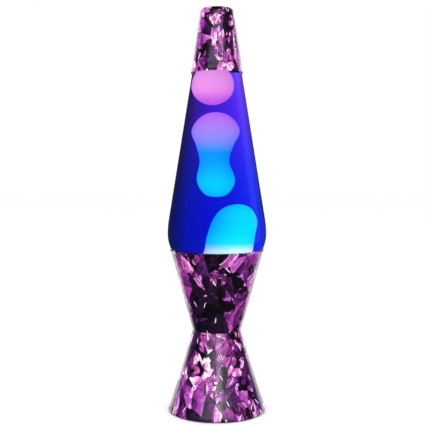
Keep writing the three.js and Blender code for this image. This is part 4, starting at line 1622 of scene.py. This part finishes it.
# ---------------------------------------------------------------- sub-assemblies
@dataclass
class SpunBase:
    """The hourglass base: a flared skirt below, a cup above, and the cord bushing at the back."""

    sheet: float = 0.8
    waist_r: float = 22.6
    throat_r: float = 14.5
    sag: float = 0.8
    hem: float = 4.0
    hem_roll: float = 0.4
    bead: float = 0.3
    bushing_body_r: float = 4.8
    bushing_gap: float = 0.3
    flange_r: float = 6.5
    flange: float = 1.6
    hole_gap: float = 0.15

    def __post_init__(self) -> None:
        """Reads the base's levels and widest radii from the frame."""
        low, high = extent("base_skirt")
        self.foot_z, self.waist_z, self.foot_r = low.z, high.z, high.x
        low, high = extent("base_cup")
        self.rim_z, self.rim_r = high.z, high.x - self.bead

    def skirt_r(self, z: float) -> float:
        """Returns the skirt's outer radius at a height: a cone drawn in a little half way up."""
        t = (z - self.foot_z) / (self.waist_z - self.foot_z)
        return self.foot_r + (self.waist_r - self.foot_r) * t - 4 * self.sag * t * (1 - t)

    def cup_r(self, z: float) -> float:
        """Returns the cup's outer radius at a height: a plain cone."""
        return self.waist_r + (self.rim_r - self.waist_r) * (z - self.waist_z) / (self.rim_z - self.waist_z)

    def wall(self, run: float, rise: float) -> float:
        """Returns the level thickness of a leaning sheet."""
        return self.sheet * math.hypot(1, run / rise)

    def skirt_outline(self) -> list[Point]:
        """Returns the skirt's outline: hem, outer wall, land, throat and inner wall."""
        wall = self.wall(self.foot_r - self.waist_r, self.waist_z - self.foot_z)
        heights = spread(self.foot_z + 2.5, self.waist_z - 3, 24)
        roll = self.hem_roll
        hem_r = self.foot_r - self.hem
        inside = [(self.skirt_r(z) - wall, z) for z in reversed(heights)]
        return softened(
            [
                (hem_r, self.foot_z + self.sheet),
                (hem_r, self.foot_z, 0.3),
                (self.foot_r - 0.1, self.foot_z, roll),
                (self.foot_r - 0.1, self.foot_z + 1.5, roll),
                *[(self.skirt_r(z), z) for z in heights],
                (self.waist_r - 0.1, self.waist_z, 1.0),
                (self.throat_r, self.waist_z, 0.35),
                (self.throat_r, self.waist_z - self.sheet, 0.3),
                (self.skirt_r(self.waist_z) - wall, self.waist_z - self.sheet, 1.0),
                *inside,
                (self.foot_r - wall - 0.6, self.foot_z + self.sheet, 0.6),
            ]
        )

    def cup_outline(self) -> list[Point]:
        """Returns the cup's outline: foot, outer wall, beaded rim, inner wall and floor."""
        wall = self.wall(self.rim_r - self.waist_r, self.rim_z - self.waist_z)
        floor = self.waist_z + self.sheet
        heights = spread(self.waist_z + 3, self.rim_z - 3, 12)
        return softened(
            [
                (self.throat_r, self.waist_z, 0.3),
                (self.waist_r, self.waist_z, 1.1),
                *[(self.cup_r(z), z) for z in heights],
                (self.cup_r(self.rim_z - 1.9), self.rim_z - 1.9),
                (self.rim_r + self.bead, self.rim_z - 1.1, 0.4),
                (self.rim_r + self.bead, self.rim_z, 0.5),
                (self.cup_r(self.rim_z) - wall, self.rim_z, 0.3),
                *[(self.cup_r(z) - wall, z) for z in reversed(heights)],
                (self.cup_r(floor) - wall, floor, 1.0),
                (self.throat_r, floor, 0.35),
            ]
        )

    def bushing_place(self) -> Matrix:
        """Returns the bushing's place: at the back, square to the skirt's wall."""
        low, high = extent("cord_bushing")
        z = (low.z + high.z) / 2
        lean = math.atan((self.skirt_r(z - 1) - self.skirt_r(z + 1)) / 2)
        at = Vector((0.0, self.skirt_r(z), z)) * MM
        return Matrix.Translation(at) @ Matrix.Rotation(lean - math.pi / 2, 4, "X")

    def bushing_mesh(self) -> Mesh:
        """Returns the moulded bushing: two flanges, a groove for the wall and a belled bore."""
        sag = self.flange_r**2 / (2 * self.foot_r)
        inner = -self.sheet - sag - self.bushing_gap
        outline = softened(
            [
                (3.8, inner - self.flange, 0.5),
                (self.flange_r, inner - self.flange, 0.5),
                (self.flange_r, inner, 0.3),
                (self.bushing_body_r, inner),
                (self.bushing_body_r, self.bushing_gap),
                (self.flange_r, self.bushing_gap, 0.3),
                (self.flange_r - 0.3, self.bushing_gap + self.flange, 0.7),
                (3.9, self.bushing_gap + self.flange, 0.8),
            ]
        )
        mesh = lathe("bushing", outline, SMALL_FACES)
        mesh.transform(self.bushing_place())
        return mesh

    def bare_inside(self, mesh: Mesh, hem: bool = False) -> None:
        """Gives the faces that look inwards the second finish.

        Args:
            mesh: The cone's mesh.
            hem: Whether faces that look down, such as the hem's, are bare as well.
        """
        for polygon in mesh.polygons:
            if looks_in(polygon) or (hem and polygon.normal.z < -0.9):
                polygon.material_index = 1

    def build(self) -> None:
        """Builds the skirt, the cup and the bushing."""
        hole = rod("bushing hole", self.bushing_body_r + self.hole_gap, 8, 32)
        hole.transform(self.bushing_place())
        skirt = bored(lathe("skirt", self.skirt_outline()), hole)
        self.bare_inside(skirt, hem=True)
        Piece("printed_skirt", "base", "printed_aluminium", ("base_skirt",)).place(
            skirt, PRINT_SKIRT_PAINTED_LIGHT, BARE_ALUMINIUM
        )
        cup = lathe("cup", self.cup_outline())
        self.bare_inside(cup)
        Piece("printed_cup", "base", "printed_aluminium", ("base_cup",)).place(
            cup, PRINT_CUP_PAINTED_SHADE, BARE_ALUMINIUM
        )
        Piece("moulded_bushing", "base", "rubber", ("cord_bushing",)).place(
            self.bushing_mesh(), BLACK_RUBBER
        )


@dataclass
class Underside:
    """The vented bottom cover and the four push-in feet."""

    vents: int = 12
    vent_width: float = 2.4
    vent_length: float = 10.0
    vent_circle: float = 22.0
    foot_circle: float = 34.0
    feet: int = 4

    def cover(self) -> Mesh:
        """Returns the cover: a disc with a raised ring, softened edges and vent slots."""
        low, high = extent("bottom_cover")
        edge = high.x
        outline = softened(
            [
                (0.0, low.z),
                (edge - 8.0, low.z),
                (edge - 7.6, low.z + 0.3, 0.2),
                (edge - 6.4, low.z + 0.3, 0.2),
                (edge - 6.0, low.z, 0.2),
                (edge, low.z, 0.4),
                (edge, high.z, 0.4),
                (0.0, high.z),
            ],
            4,
        )
        return slotted(
            lathe("cover", outline, 96),
            self.vents,
            self.vent_width,
            self.vent_length,
            self.vent_circle,
            BLACK_ABS,
        )

    def foot_outline(self) -> list[Point]:
        """Returns a foot's outline: a domed pad with a grip ring, a stem and a barb."""
        low, high = extent("rubber_foot_1")
        radius = (high.x - low.x) / 2
        seat = extent("bottom_cover")[0].z
        top = extent("bottom_cover")[1].z
        return softened(
            [
                (0.0, 0.0),
                (radius - 2.4, 0.0),
                (radius - 2.1, 0.3, 0.15),
                (radius - 1.7, 0.3, 0.15),
                (radius - 1.4, 0.0, 0.1),
                (radius, 0.0, 0.7),
                (radius, seat, 0.4),
                (2.0, seat),
                (2.0, top),
                (2.9, top, 0.2),
                (1.0, high.z, 0.4),
                (0.0, high.z),
            ],
            4,
        )

    def build(self) -> None:
        """Builds the cover and the feet."""
        Piece("vented_cover", "base", "black_plastic", ("bottom_cover",)).place(
            self.cover(), BLACK_ABS
        )
        feet = repeated_round(
            lathe("foot", self.foot_outline(), SMALL_FACES),
            self.feet,
            self.foot_circle,
            BLACK_RUBBER,
        )
        nodes = tuple(f"rubber_foot_{i + 1}" for i in range(self.feet))
        Piece("push_in_feet", "base", "rubber", nodes).place(feet, BLACK_RUBBER)


@dataclass
class SpunCap:
    """The cone cap, spun in one piece with a softly rounded top."""

    sheet: float = 0.8
    bead: float = 0.3
    top_r: float = 14.9
    corner: float = 3.0

    def __post_init__(self) -> None:
        """Reads the cap's levels and edge radius from the frame."""
        low, high = extent("cap")
        self.edge_z, self.top_z, self.edge_r = low.z, high.z, high.x - self.bead

    def radius(self, z: float) -> float:
        """Returns the cap's outer radius at a height."""
        share = (z - self.edge_z) / (self.top_z - self.edge_z)
        return self.edge_r + (self.top_r - self.edge_r) * share

    def build(self) -> None:
        """Builds the cap, printed outside and bare inside."""
        wall = self.sheet * math.hypot(1, (self.edge_r - self.top_r) / (self.top_z - self.edge_z))
        heights = spread(self.edge_z + 2.4, self.top_z - 6, 10)
        roof = self.top_z - self.sheet
        outline = softened(
            [
                (self.radius(self.edge_z) - wall, self.edge_z, 0.3),
                (self.edge_r + self.bead, self.edge_z, 0.3),
                (self.edge_r + self.bead, self.edge_z + 0.9, 0.3),
                (self.radius(self.edge_z + 1.7), self.edge_z + 1.7),
                *[(self.radius(z), z) for z in heights],
                (self.top_r, self.top_z, self.corner),
                (0.0, self.top_z),
                (0.0, roof),
                (self.radius(roof) - wall, roof, self.corner - self.sheet),
                *[(self.radius(z) - wall, z) for z in reversed(heights)],
            ],
            8,
        )
        mesh = lathe("cap", outline)
        for polygon in mesh.polygons:
            ceiling = polygon.normal.z < -0.5 and polygon.center.z > (self.edge_z + 2) * MM
            if looks_in(polygon) or ceiling:
                polygon.material_index = 1
        Piece("printed_cap", "cap", "printed_aluminium", ("cap",)).place(
            mesh, PRINT_CAP, BARE_ALUMINIUM
        )


def dress(finish: Finish, *nodes: str) -> None:
    """Gives CAD nodes that stay in view their finish.

    Args:
        finish: The finish.
        *nodes: Names of the nodes.
    """
    for node in nodes:
        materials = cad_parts[node].data.materials
        materials.clear()
        materials.append(finish.material())
        log.info("%s: dressed as %s", node, finish.name)


@dataclass
class Lampholder:
    """The porcelain lampholder with its brass screw shell, hung in the throat by a steel bracket."""

    web_top: float = 43.54
    web: float = 3.5
    wireway_r: float = 3.9
    bore_gap: float = 0.2
    screw_hole_r: float = 1.75

    def body(self) -> Mesh:
        """Returns the porcelain body: a cup with a web inside, rounded edges and a glaze groove."""
        low, high = extent("lampholder_body")
        radius, bore = high.x, extent("lampholder_shell")[1].x + self.bore_gap
        neck = extent("lampholder_nipple")[1].x + 0.05
        outline = softened(
            [
                (neck, low.z, 0.4),
                (radius, low.z, 1.6),
                (radius, low.z + 11.0, 0.4),
                (radius - 0.6, low.z + 11.8, 0.5),
                (radius - 0.6, low.z + 12.6, 0.5),
                (radius, low.z + 13.4, 0.4),
                (radius, high.z, 1.1),
                (bore, high.z, 0.7),
                (bore, self.web_top, 0.5),
                (self.wireway_r, self.web_top, 0.4),
                (self.wireway_r, self.web_top - self.web),
                (neck, self.web_top - self.web),
            ]
        )
        z = sum(corner.z for corner in extent("terminal_screw_1")) / 2
        hole = rod("terminal holes", self.screw_hole_r, 20, 24)
        hole.transform(Matrix.Translation((0, 0, z * MM)) @ Matrix.Rotation(math.pi / 2, 4, "X"))
        return bored(lathe("body", outline, 96), hole)

    def build(self) -> None:
        """Builds the body and the shell, and dresses the small parts."""
        Piece("glazed_body", "base", "porcelain", ("lampholder_body",)).place(
            self.body(), PORCELAIN
        )
        Piece("screw_shell", "base", "brass", ("lampholder_shell",)).place(
            rolled_shell("lampholder_shell", 0.0, BRASS), BRASS
        )
        dress(BRASS, "lampholder_contact", "terminal_screw_1", "terminal_screw_2")
        dress(ZINC_STEEL, "holder_bracket", "lampholder_nipple", "nipple_washer", "nipple_nut")
        dress(ZINC_STEEL, "bracket_screw_1", "bracket_screw_2", "bracket_nut_1", "bracket_nut_2")


def rolled_shell(node: str, lip: float, finish: Finish) -> Mesh:
    """Makes a thin screw shell with a rolled thread.

    Args:
        node: The CAD node that it stands for.
        lip: How far its lower end is turned in, in millimetres.
        finish: The shell's finish.

    Returns:
        The shell's mesh.
    """
    low, high = extent(node)
    crest, foot, top = high.x, low.z, high.z
    levels = round(12 * (top - foot) / THREAD_PITCH)
    rise = spread(foot + 2 * SHELL_SHEET, top - SHELL_SHEET, levels)
    root = crest - THREAD_DEPTH
    end = [(root - lip, foot + SHELL_SHEET), (root - lip, foot), (root, foot, 0.3)]
    if not lip:
        end = [(crest - SHELL_SHEET, foot), (crest, foot)]
    outside = [(crest, z) for z in rise]
    inside = [(crest - SHELL_SHEET, z) for z in reversed(rise)]
    outline = softened([*end, *outside, (crest, top), (crest - SHELL_SHEET, top), *inside])
    plain = lathe("shell", outline, 72)
    return threaded(plain, foot + SHELL_SHEET, top - SHELL_SHEET, finish)


@dataclass
class Bulb:
    """The clear ball bulb: envelope, screw shell, insulator, tip, stem, supports and filament."""

    radius: float = 17.5
    wall: float = 0.6
    neck_r: float = 7.1
    leave: float = 50.0
    ease: float = 7.0
    shell_lip: float = 1.2

    def envelope_outline(self) -> list[Point]:
        """Returns the envelope's outline: neck, a soft funnel and the ball, then the same inside."""
        low, high = extent("bulb_glass")
        centre = high.z - self.radius
        shell_top = extent("bulb_shell")[1].z

        def layer(inset: float) -> list[tuple[float, ...]]:
            """Returns one surface of the envelope, set in from the outside."""
            reach = self.radius - inset
            ball = [
                (reach * math.cos(math.radians(a)), centre + reach * math.sin(math.radians(a)))
                for a in spread(-self.leave, 90, 28)
            ]
            ball[-1] = (0.0, ball[-1][1])
            neck = self.neck_r - inset
            return [(neck, low.z), (neck, shell_top), (neck, shell_top + 1.5, self.ease), *ball]

        return softened([*layer(0.0), *reversed(layer(self.wall))], 8)

    def build(self) -> None:
        """Builds the envelope and the screw shell, and dresses the small parts."""
        Piece("blown_envelope", "bulb_carrier", "bulb_glass", ("bulb_glass",)).place(
            lathe("envelope", self.envelope_outline(), 96), BULB_GLASS
        )
        shell = rolled_shell("bulb_shell", self.shell_lip, NICKEL)
        Piece("plated_shell", "bulb", "nickel_shell", ("bulb_shell",)).place(shell, NICKEL)
        dress(BLACK_VITRITE, "bulb_insulator")
        dress(SOLDER, "bulb_tip")
        dress(BULB_GLASS, "bulb_stem")
        dress(NICKEL, "filament_support_1", "filament_support_2")
        dress(FILAMENT, "filament")


@dataclass
class Bottle:
    """The tapered bottle with its liquid, heat-spreading coil, liner and crown closure."""

    glass: float = 2.2
    floor: float = 4.0
    punt: float = 2.0
    foot_round: float = 4.0
    seat_gap: float = 0.3
    bulge: float = 3.3
    bulge_rise: float = 14.4
    ease: float = 13.0
    top_r: float = 22.6
    neck_start: float = 14.0
    neck_ease: float = 12.0
    neck_r: float = 12.3
    lip_height: float = 4.0
    overlap: float = 0.12
    wire_r: float = 0.5
    coil_turns: int = 18
    flutes: int = 21
    flute_depth: float = 0.6
    crown_sheet: float = 0.5
    crown_gap: float = 1.15
    crown_flare: float = 0.9
    cup: SpunBase = field(default_factory=SpunBase)
    cap: SpunCap = field(default_factory=SpunCap)

    def __post_init__(self) -> None:
        """Reads the bottle's levels from the frame."""
        low, high = extent("bottle")
        self.foot_z, self.lip_z = low.z, high.z
        self.rim_z, self.edge_z = self.cup.rim_z, self.cap.edge_z
        self.floor_z = self.foot_z + self.floor
        self.widest_z = self.rim_z + self.bulge_rise
        self.fill_z = extent("liquid")[1].z

    def seat_r(self, z: float) -> float:
        """Returns the bottle's outer radius inside the cup."""
        cup = self.cup
        return cup.cup_r(z) - cup.wall(cup.rim_r - cup.waist_r, cup.rim_z - cup.waist_z) - self.seat_gap

    def radius(self, z: float) -> float:
        """Returns the bottle's outer radius: seat, bulge, long taper, then the taper inside the cap."""
        widest = self.seat_r(self.rim_z) + self.bulge
        if z <= self.rim_z:
            return self.seat_r(z)
        if z <= self.widest_z:
            return widest - self.bulge * (1 - (z - self.rim_z) / self.bulge_rise) ** 2
        slope = (widest - self.top_r) / (self.edge_z - self.widest_z - self.ease / 2)
        up = min(z, self.edge_z) - self.widest_z
        eased = up**2 / (2 * self.ease) if up < self.ease else up - self.ease / 2
        lean = (self.cap.edge_r - self.cap.top_r) / (self.cap.top_z - self.cap.edge_z)
        return widest - slope * eased - lean * max(0.0, z - self.edge_z)

    def side(self, low: float, high: float, inset: float) -> list[Point]:
        """Returns points up the bottle's side.

        Args:
            low: Height of the first point.
            high: Height of the last point.
            inset: Distance in from the outer surface.

        Returns:
            The points.
        """
        levels = [low, *spread(self.rim_z, self.widest_z, 8)]
        levels += [*spread(self.widest_z, self.widest_z + self.ease, 6)[1:]]
        levels += [*spread(self.widest_z + self.ease, self.edge_z, 10)[1:], high]
        return [(self.radius(z) - inset, z) for z in levels if low <= z <= high]

    def shoulder(self, wall: float, rise: float) -> list[Point]:
        """Returns a quarter-round shoulder from the side in to the neck.

        Args:
            wall: Distance in from the outer surface.
            rise: Height of the shoulder.

        Returns:
            Its points, from the side up.
        """
        start_z = self.edge_z + self.neck_start
        start_r, end_r = self.radius(start_z) - wall, self.neck_r - wall
        lean = (self.cap.edge_r - self.cap.top_r) / (self.cap.top_z - self.cap.edge_z)
        turns = [math.radians(a) for a in spread(0, 90, 10)]
        return [
            (
                end_r + (start_r - end_r - lean * rise) * math.cos(a) + lean * rise * (1 - math.sin(a)),
                start_z + rise * math.sin(a),
            )
            for a in turns
        ]

    def bottle_mesh(self) -> Mesh:
        """Returns the bottle: punt, rounded foot, side, shoulder, neck and bead lip."""
        foot_r = self.radius(self.foot_z + self.foot_round)
        inner = foot_r - self.glass
        bore = self.neck_r - self.glass
        lip_r, lip_z = self.neck_r + 1.0, self.lip_z - self.lip_height
        neck_z = self.edge_z + self.neck_start
        outside = self.side(self.foot_z + self.foot_round, neck_z - 0.5, 0.0)
        inside = self.side(self.floor_z + self.foot_round, neck_z - 0.5, self.glass)
        outline = softened(
            [
                (0.0, self.foot_z + self.punt),
                (foot_r * 0.62, self.foot_z + self.punt * 0.5, 6.0),
                (foot_r - 5.5, self.foot_z, 1.5),
                (foot_r - 1.4, self.foot_z, 3.4),
                *outside,
                *self.shoulder(0.0, self.neck_ease),
                (self.neck_r, lip_z - 1.0, 0.6),
                (lip_r, lip_z, 0.6),
                (lip_r, self.lip_z, 1.2),
                (bore, self.lip_z, 0.8),
                *reversed(self.shoulder(self.glass, self.neck_ease - self.glass)),
                *reversed(inside),
                (inner - 1.2, self.floor_z, 3.2),
                (0.0, self.floor_z),
            ],
            8,
        )
        return lathe("bottle", outline)

    def liquid_mesh(self) -> Mesh:
        """Returns the liquid, a hair into the glass all round so that light bends once between them."""
        inner = self.radius(self.foot_z + self.foot_round) - self.glass
        side = self.side(
            self.floor_z + self.foot_round, self.fill_z - 0.6, self.glass - self.overlap
        )
        top_r = self.radius(self.fill_z) - self.glass + self.overlap
        outline = softened(
            [
                (0.0, self.floor_z - self.overlap),
                (inner - 1.2, self.floor_z - self.overlap, 3.2),
                *side,
                (top_r, self.fill_z),
                (top_r - 1.6, self.fill_z - 0.7, 1.0),
                (0.0, self.fill_z - 0.8),
            ]
        )
        return lathe("liquid", outline)

    def crown_mesh(self) -> Mesh:
        """Returns the crown closure: a pressed cap whose skirt is crimped into flutes."""
        low, high = extent("crown_closure")
        inner, sheet, flare = self.neck_r + self.crown_gap, self.crown_sheet, self.crown_flare
        under, bend = high.z - sheet, low.z + 3.4
        skirt = spread(bend, low.z, 6)
        lower = [(inner + flare * (bend - z) / (bend - low.z), z) for z in skirt]
        outline = softened(
            [
                (0.0, under),
                (inner, under, 1.6),
                *lower,
                *[(r + sheet, z) for r, z in reversed(lower)],
                (inner + sheet, high.z, 2.0),
                (4.0, high.z),
                (3.6, high.z - 0.12),
                (0.0, high.z - 0.12),
            ]
        )
        plain = lathe("crown", outline, 8 * self.flutes)
        return fluted(plain, self.flutes, self.flute_depth, low.z, under - 1.5, TINPLATE)

    def build(self) -> None:
        """Builds the bottle, liquid, coil and closure, and dresses the liner."""
        bottle = self.bottle_mesh()
        for polygon in bottle.polygons:
            wetted = self.floor_z * MM - 1e-6 < polygon.center.z < self.fill_z * MM
            inner = looks_in(polygon, 0.05) or polygon.normal.z > 0.5
            polygon.material_index = int(wetted and inner)
        Piece("glass_bottle", "globe", "bottle_glass", ("bottle",)).place(
            bottle, BOTTLE_GLASS, WET_GLASS
        )
        Piece("blue_liquid", "globe", "dyed_liquid", ("liquid",)).place(
            self.liquid_mesh(), BLUE_LIQUID
        )
        low, high = extent("heat_coil")
        coil_r = (high.z - low.z) / 2 - self.wire_r
        ring_r = high.x - coil_r - self.wire_r
        middle = (low.z + high.z) / 2
        coil = ring_coil(ring_r, coil_r, self.wire_r, self.coil_turns, middle, SPRING_WIRE)
        Piece("coiled_heat_ring", "globe", "spring_steel", ("heat_coil",)).place(coil, SPRING_WIRE)
        Piece("crimped_crown", "globe", "crown_tinplate", ("crown_closure",)).place(
            self.crown_mesh(), TINPLATE
        )
        dress(SOFT_PVC, "closure_liner")


@dataclass
class WaxBody:
    """One body of molten wax: round sections that follow a leaning, swelling line."""

    piece: Piece
    finish: WaxWithPaintedGlow
    stations: tuple[tuple[float, float, float], ...]
    bed: tuple[tuple[float, float, float], ...] = ()
    steps: int = 9
    faces: int = 72

    def sections(self) -> list[tuple[float, float, float]]:
        """Returns the sections along a smooth curve through the stations, flat across at each tip."""
        points = [Vector(station) for station in self.stations]
        found: list[tuple[float, float, float]] = list(self.bed)
        last = len(points) - 2
        for i in range(last + 1):
            here, there = points[i], points[i + 1]
            length = (there - here).length
            leave, arrive = (there - points[i - 1]).normalized(), Vector((0, 0, -1.2))
            if i == 0:
                leave = Vector((0, 0, 1.2)) if here.z == 0 else (there - here).normalized()
            if i < last:
                arrive = (points[i + 2] - here).normalized()
            for k in range(self.steps + (i == last)):
                t = k / self.steps
                at = here * (2 * t**3 - 3 * t**2 + 1) + there * (3 * t**2 - 2 * t**3)
                at += leave * length * (t**3 - 2 * t**2 + t) + arrive * length * (t**3 - t**2)
                found.append((at.x, at.y, max(at.z, 0.0)))
        return found

    def build(self) -> None:
        """Builds the wax body; its first and last sections close to a point."""
        self.piece.place(loft(self.piece.name, self.sections(), self.faces), self.finish)


@dataclass
class Wax:
    """The mound with its column, and the two blobs that rise above it."""

    bottle: Bottle = field(default_factory=Bottle)
    pool_depth: float = 9.0
    pool_gap: float = 0.4
    foot_round: float = 4.0
    top_reach: float = 19.2
    top_r: float = 14.5
    top_taper: float = 0.06

    def top_station(self, turn: float) -> tuple[float, float, float]:
        """Returns a section of the top blob, at a turn from its bottom to its top."""
        half_way = self.bottle.edge_z - 11.3
        radius = self.top_r * math.cos(turn) * (1 - self.top_taper * math.sin(turn))
        return half_way + self.top_reach * math.sin(turn), -3.0, radius if abs(turn) < 1.57 else 0.0

    def build(self) -> None:
        """Builds the three bodies of wax."""
        bottle, soft = self.bottle, self.foot_round
        floor, rim = bottle.floor_z, bottle.rim_z
        pool = floor + self.pool_depth
        foot_r = bottle.radius(floor + soft) - bottle.glass - soft
        pool_r = bottle.radius(pool) - bottle.glass - self.pool_gap
        bodies = [
            WaxBody(
                Piece("rising_column", "globe", "wax_blue", ("wax_mound",)),
                WAX_CYAN,
                (
                    (pool, 0.0, pool_r),
                    (137.1, 3.0, 26.0),
                    (rim - 3, 6.5, 17.9),
                    (rim + 13, 9.8, 16.6),
                    (rim + 24, 12.3, 15.9),
                    (rim + 33, 13.2, 12.4),
                    (rim + 38, 14.0, 7.6),
                    (rim + 40.2, 14.5, 0.0),
                ),
                (
                    (floor + 0.05, 0.0, 0.0),
                    (floor + 0.05, 0.0, foot_r),
                    (floor + soft, 0.0, foot_r + soft / 2),
                ),
            ),
            WaxBody(
                Piece("waisted_blob", "wax_middle", "wax_violet_blue", ("wax_blob_middle",)),
                WAX_BLUE,
                (
                    (rim + 47.1, -0.6, 0.0),
                    (rim + 49.5, -0.6, 7.8),
                    (rim + 61.5, -0.7, 13.1),
                    (rim + 79.5, -1.8, 10.1),
                    (rim + 93, -1.5, 12.6),
                    (rim + 107.5, -0.9, 16.4),
                    (rim + 120, -0.8, 10.0),
                    (rim + 124, -0.8, 0.0),
                ),
            ),
            WaxBody(
                Piece("round_blob", "wax_top", "wax_pink", ("wax_blob_top",)),
                WAX_PINK,
                tuple(self.top_station(a) for a in spread(-math.pi / 2, math.pi / 2, 8)),
            ),
        ]
        for body in bodies:
            body.build()


# ---------------------------------------------------------------- studio
CONES = ("printed_skirt", "printed_cup", "printed_cap")


@dataclass(frozen=True)
class Panel:
    """One soft light: a glowing rectangle that faces the lamp, placed round it from the camera's side."""

    name: str
    azimuth: float
    elevation: float
    distance: float
    width: float
    height: float
    glow: float
    in_gloss: bool = True
    in_glass: bool = False
    in_matt: bool = True
    only_on: tuple[str, ...] = ()
    aim: float = 0.18

    def switch_on(self) -> None:
        """Adds the light to the scene."""
        data = bpy.data.lights.new(self.name, "AREA")
        data.shape, data.size, data.size_y = "RECTANGLE", self.width, self.height
        data.energy = self.glow * math.pi * self.width * self.height
        light = bpy.data.objects.new(self.name, data)
        bpy.context.scene.collection.objects.link(light)
        turn, rise = math.radians(self.azimuth), math.radians(self.elevation)
        level = math.cos(rise)
        towards = Vector((math.sin(turn) * level, -math.cos(turn) * level, math.sin(rise)))
        light.location = Vector((0, 0, self.aim)) + towards * self.distance
        light.rotation_euler = towards.to_track_quat("Z", "Y").to_euler()
        light.visible_camera = False
        light.visible_glossy = self.in_gloss
        light.visible_transmission = self.in_glass
        light.visible_diffuse = self.in_matt
        if self.only_on:
            # The light falls on these pieces only, as if flags kept it off the others.
            receivers = bpy.data.collections.new(self.name)
            for name in self.only_on:
                receivers.objects.link(bpy.data.objects[name])
            light.light_linking.receiver_collection = receivers
        log.info("%s: on", self.name)


@dataclass(frozen=True)
class Studio:
    """A pale floor, a white surround, soft panels and the camera.

    The camera stands a little above the lamp's middle and looks slightly down at it.
    """

    eye: tuple[float, float, float] = (-0.0018, -0.735, 0.22)
    lens_mm: float = 66.93
    look_down: float = 0.0535
    matt_level: float = 1.12
    glass_levels: tuple[float, float] = (0.15, 1.25)
    # The room goes from dark to bright between these directions along X.
    glass_sweep: tuple[float, float] = (0.62, -0.4)
    near_level: float = 0.03
    gloss_level: float = 0.03
    floor_reach: float = 6.0

    def surround(self) -> None:
        """Makes the world: white where the camera sees it, dim grey for everything else."""
        world = bpy.data.worlds.new("white surround")
        bpy.context.scene.world = world
        world.use_nodes = True
        tree = world.node_tree
        tree.nodes.clear()
        rays = add_node(tree, "ShaderNodeLightPath").outputs
        towards = add_node(tree, "ShaderNodeTexCoord").outputs["Generated"]
        axes = add_node(tree, "ShaderNodeSeparateXYZ", {0: towards}).outputs
        # Seen through the bottle, the far side of the room is dark on the right and bright on the left.
        beyond = add_node(
            tree,
            "ShaderNodeMapRange",
            {
                "Value": axes["X"],
                "From Min": self.glass_sweep[0],
                "From Max": self.glass_sweep[1],
                "To Min": self.glass_levels[0],
                "To Max": self.glass_levels[1],
            },
        )
        # Light thrown back by the bottle's walls comes from a dim room; light from beyond does not.
        straight = add_node(
            tree, "ShaderNodeMath", {0: rays["Glossy Depth"], 1: 0.5}, operation="LESS_THAN"
        )
        through = add_node(
            tree, "ShaderNodeMix", {"Factor": straight, "A": self.near_level, "B": beyond}
        )
        strength: Value = 0.0
        for ray, level in (
            ("Is Camera Ray", 1.0),
            ("Is Diffuse Ray", self.matt_level),
            ("Is Transmission Ray", through),
            ("Is Glossy Ray", self.gloss_level),
        ):
            strength = add_node(
                tree,
                "ShaderNodeMath",
                {0: rays[ray], 1: level, 2: strength},
                operation="MULTIPLY_ADD",
            )
        sky = add_node(
            tree, "ShaderNodeBackground", {"Color": linear("#ffffff"), "Strength": strength}
        )
        add_node(tree, "ShaderNodeOutputWorld", {"Surface": sky})

    def floor(self) -> None:
        """Lays the pale paper floor."""
        mesh = bpy.data.meshes.new("paper floor")
        reach = self.floor_reach
        corners = [(-reach, -reach, 0), (reach, -reach, 0), (reach, reach, 0), (-reach, reach, 0)]
        mesh.from_pydata(corners, [], [(0, 1, 2, 3)])
        mesh.materials.append(WHITE_PAPER.material())
        floor = bpy.data.objects.new("paper floor", mesh)
        bpy.context.scene.collection.objects.link(floor)
        floor.visible_glossy = False
        floor.visible_transmission = False

    def camera(self) -> None:
        """Sets the camera in front, a little above the lamp's middle."""
        data = bpy.data.cameras.new("camera")
        data.lens, data.sensor_width = self.lens_mm, 36.0
        data.clip_start, data.clip_end = 0.01, 50.0
        data.dof.use_dof = False
        camera = bpy.data.objects.new("camera", data)
        bpy.context.scene.collection.objects.link(camera)
        camera.location = self.eye
        camera.rotation_euler = (math.pi / 2 - self.look_down, 0.0, 0.0)
        bpy.context.scene.camera = camera

    def build(self) -> None:
        """Sets up the whole studio."""
        bpy.context.scene.view_settings.view_transform = "Standard"
        self.surround()
        self.floor()
        self.camera()
        for panel in (
            Panel("overhead softbox", 0, 88, 1.2, 1.6, 1.6, 0.9, in_gloss=False),
            Panel("rear left softbox", -152, 5, 1.0, 0.8, 1.4, 1.1, only_on=CONES),
            Panel("rear right softbox", 152, 5, 1.0, 0.8, 1.4, 1.1, only_on=CONES),
            Panel("canopy", 0, 24, 1.0, 1.6, 0.5, 0.8, in_matt=False, only_on=CONES),
            Panel("front strip", 6, 17, 0.9, 0.3, 0.26, 2.4, in_matt=False, only_on=CONES),
            Panel("side strip", 104, 18, 0.9, 0.4, 1.3, 0.2, in_matt=False, only_on=("glass_bottle",)),
        ):
            panel.switch_on()


def main() -> None:
    """Builds the lamp and its studio."""
    logging.basicConfig(level=logging.INFO, format="%(message)s")
    for assembly in (SpunBase(), Underside(), Lampholder(), Bulb(), Bottle(), Wax(), SpunCap(), Studio()):
        log.info("building %s", type(assembly).__name__)
        assembly.build()


if __name__ == "__main__":
    main()
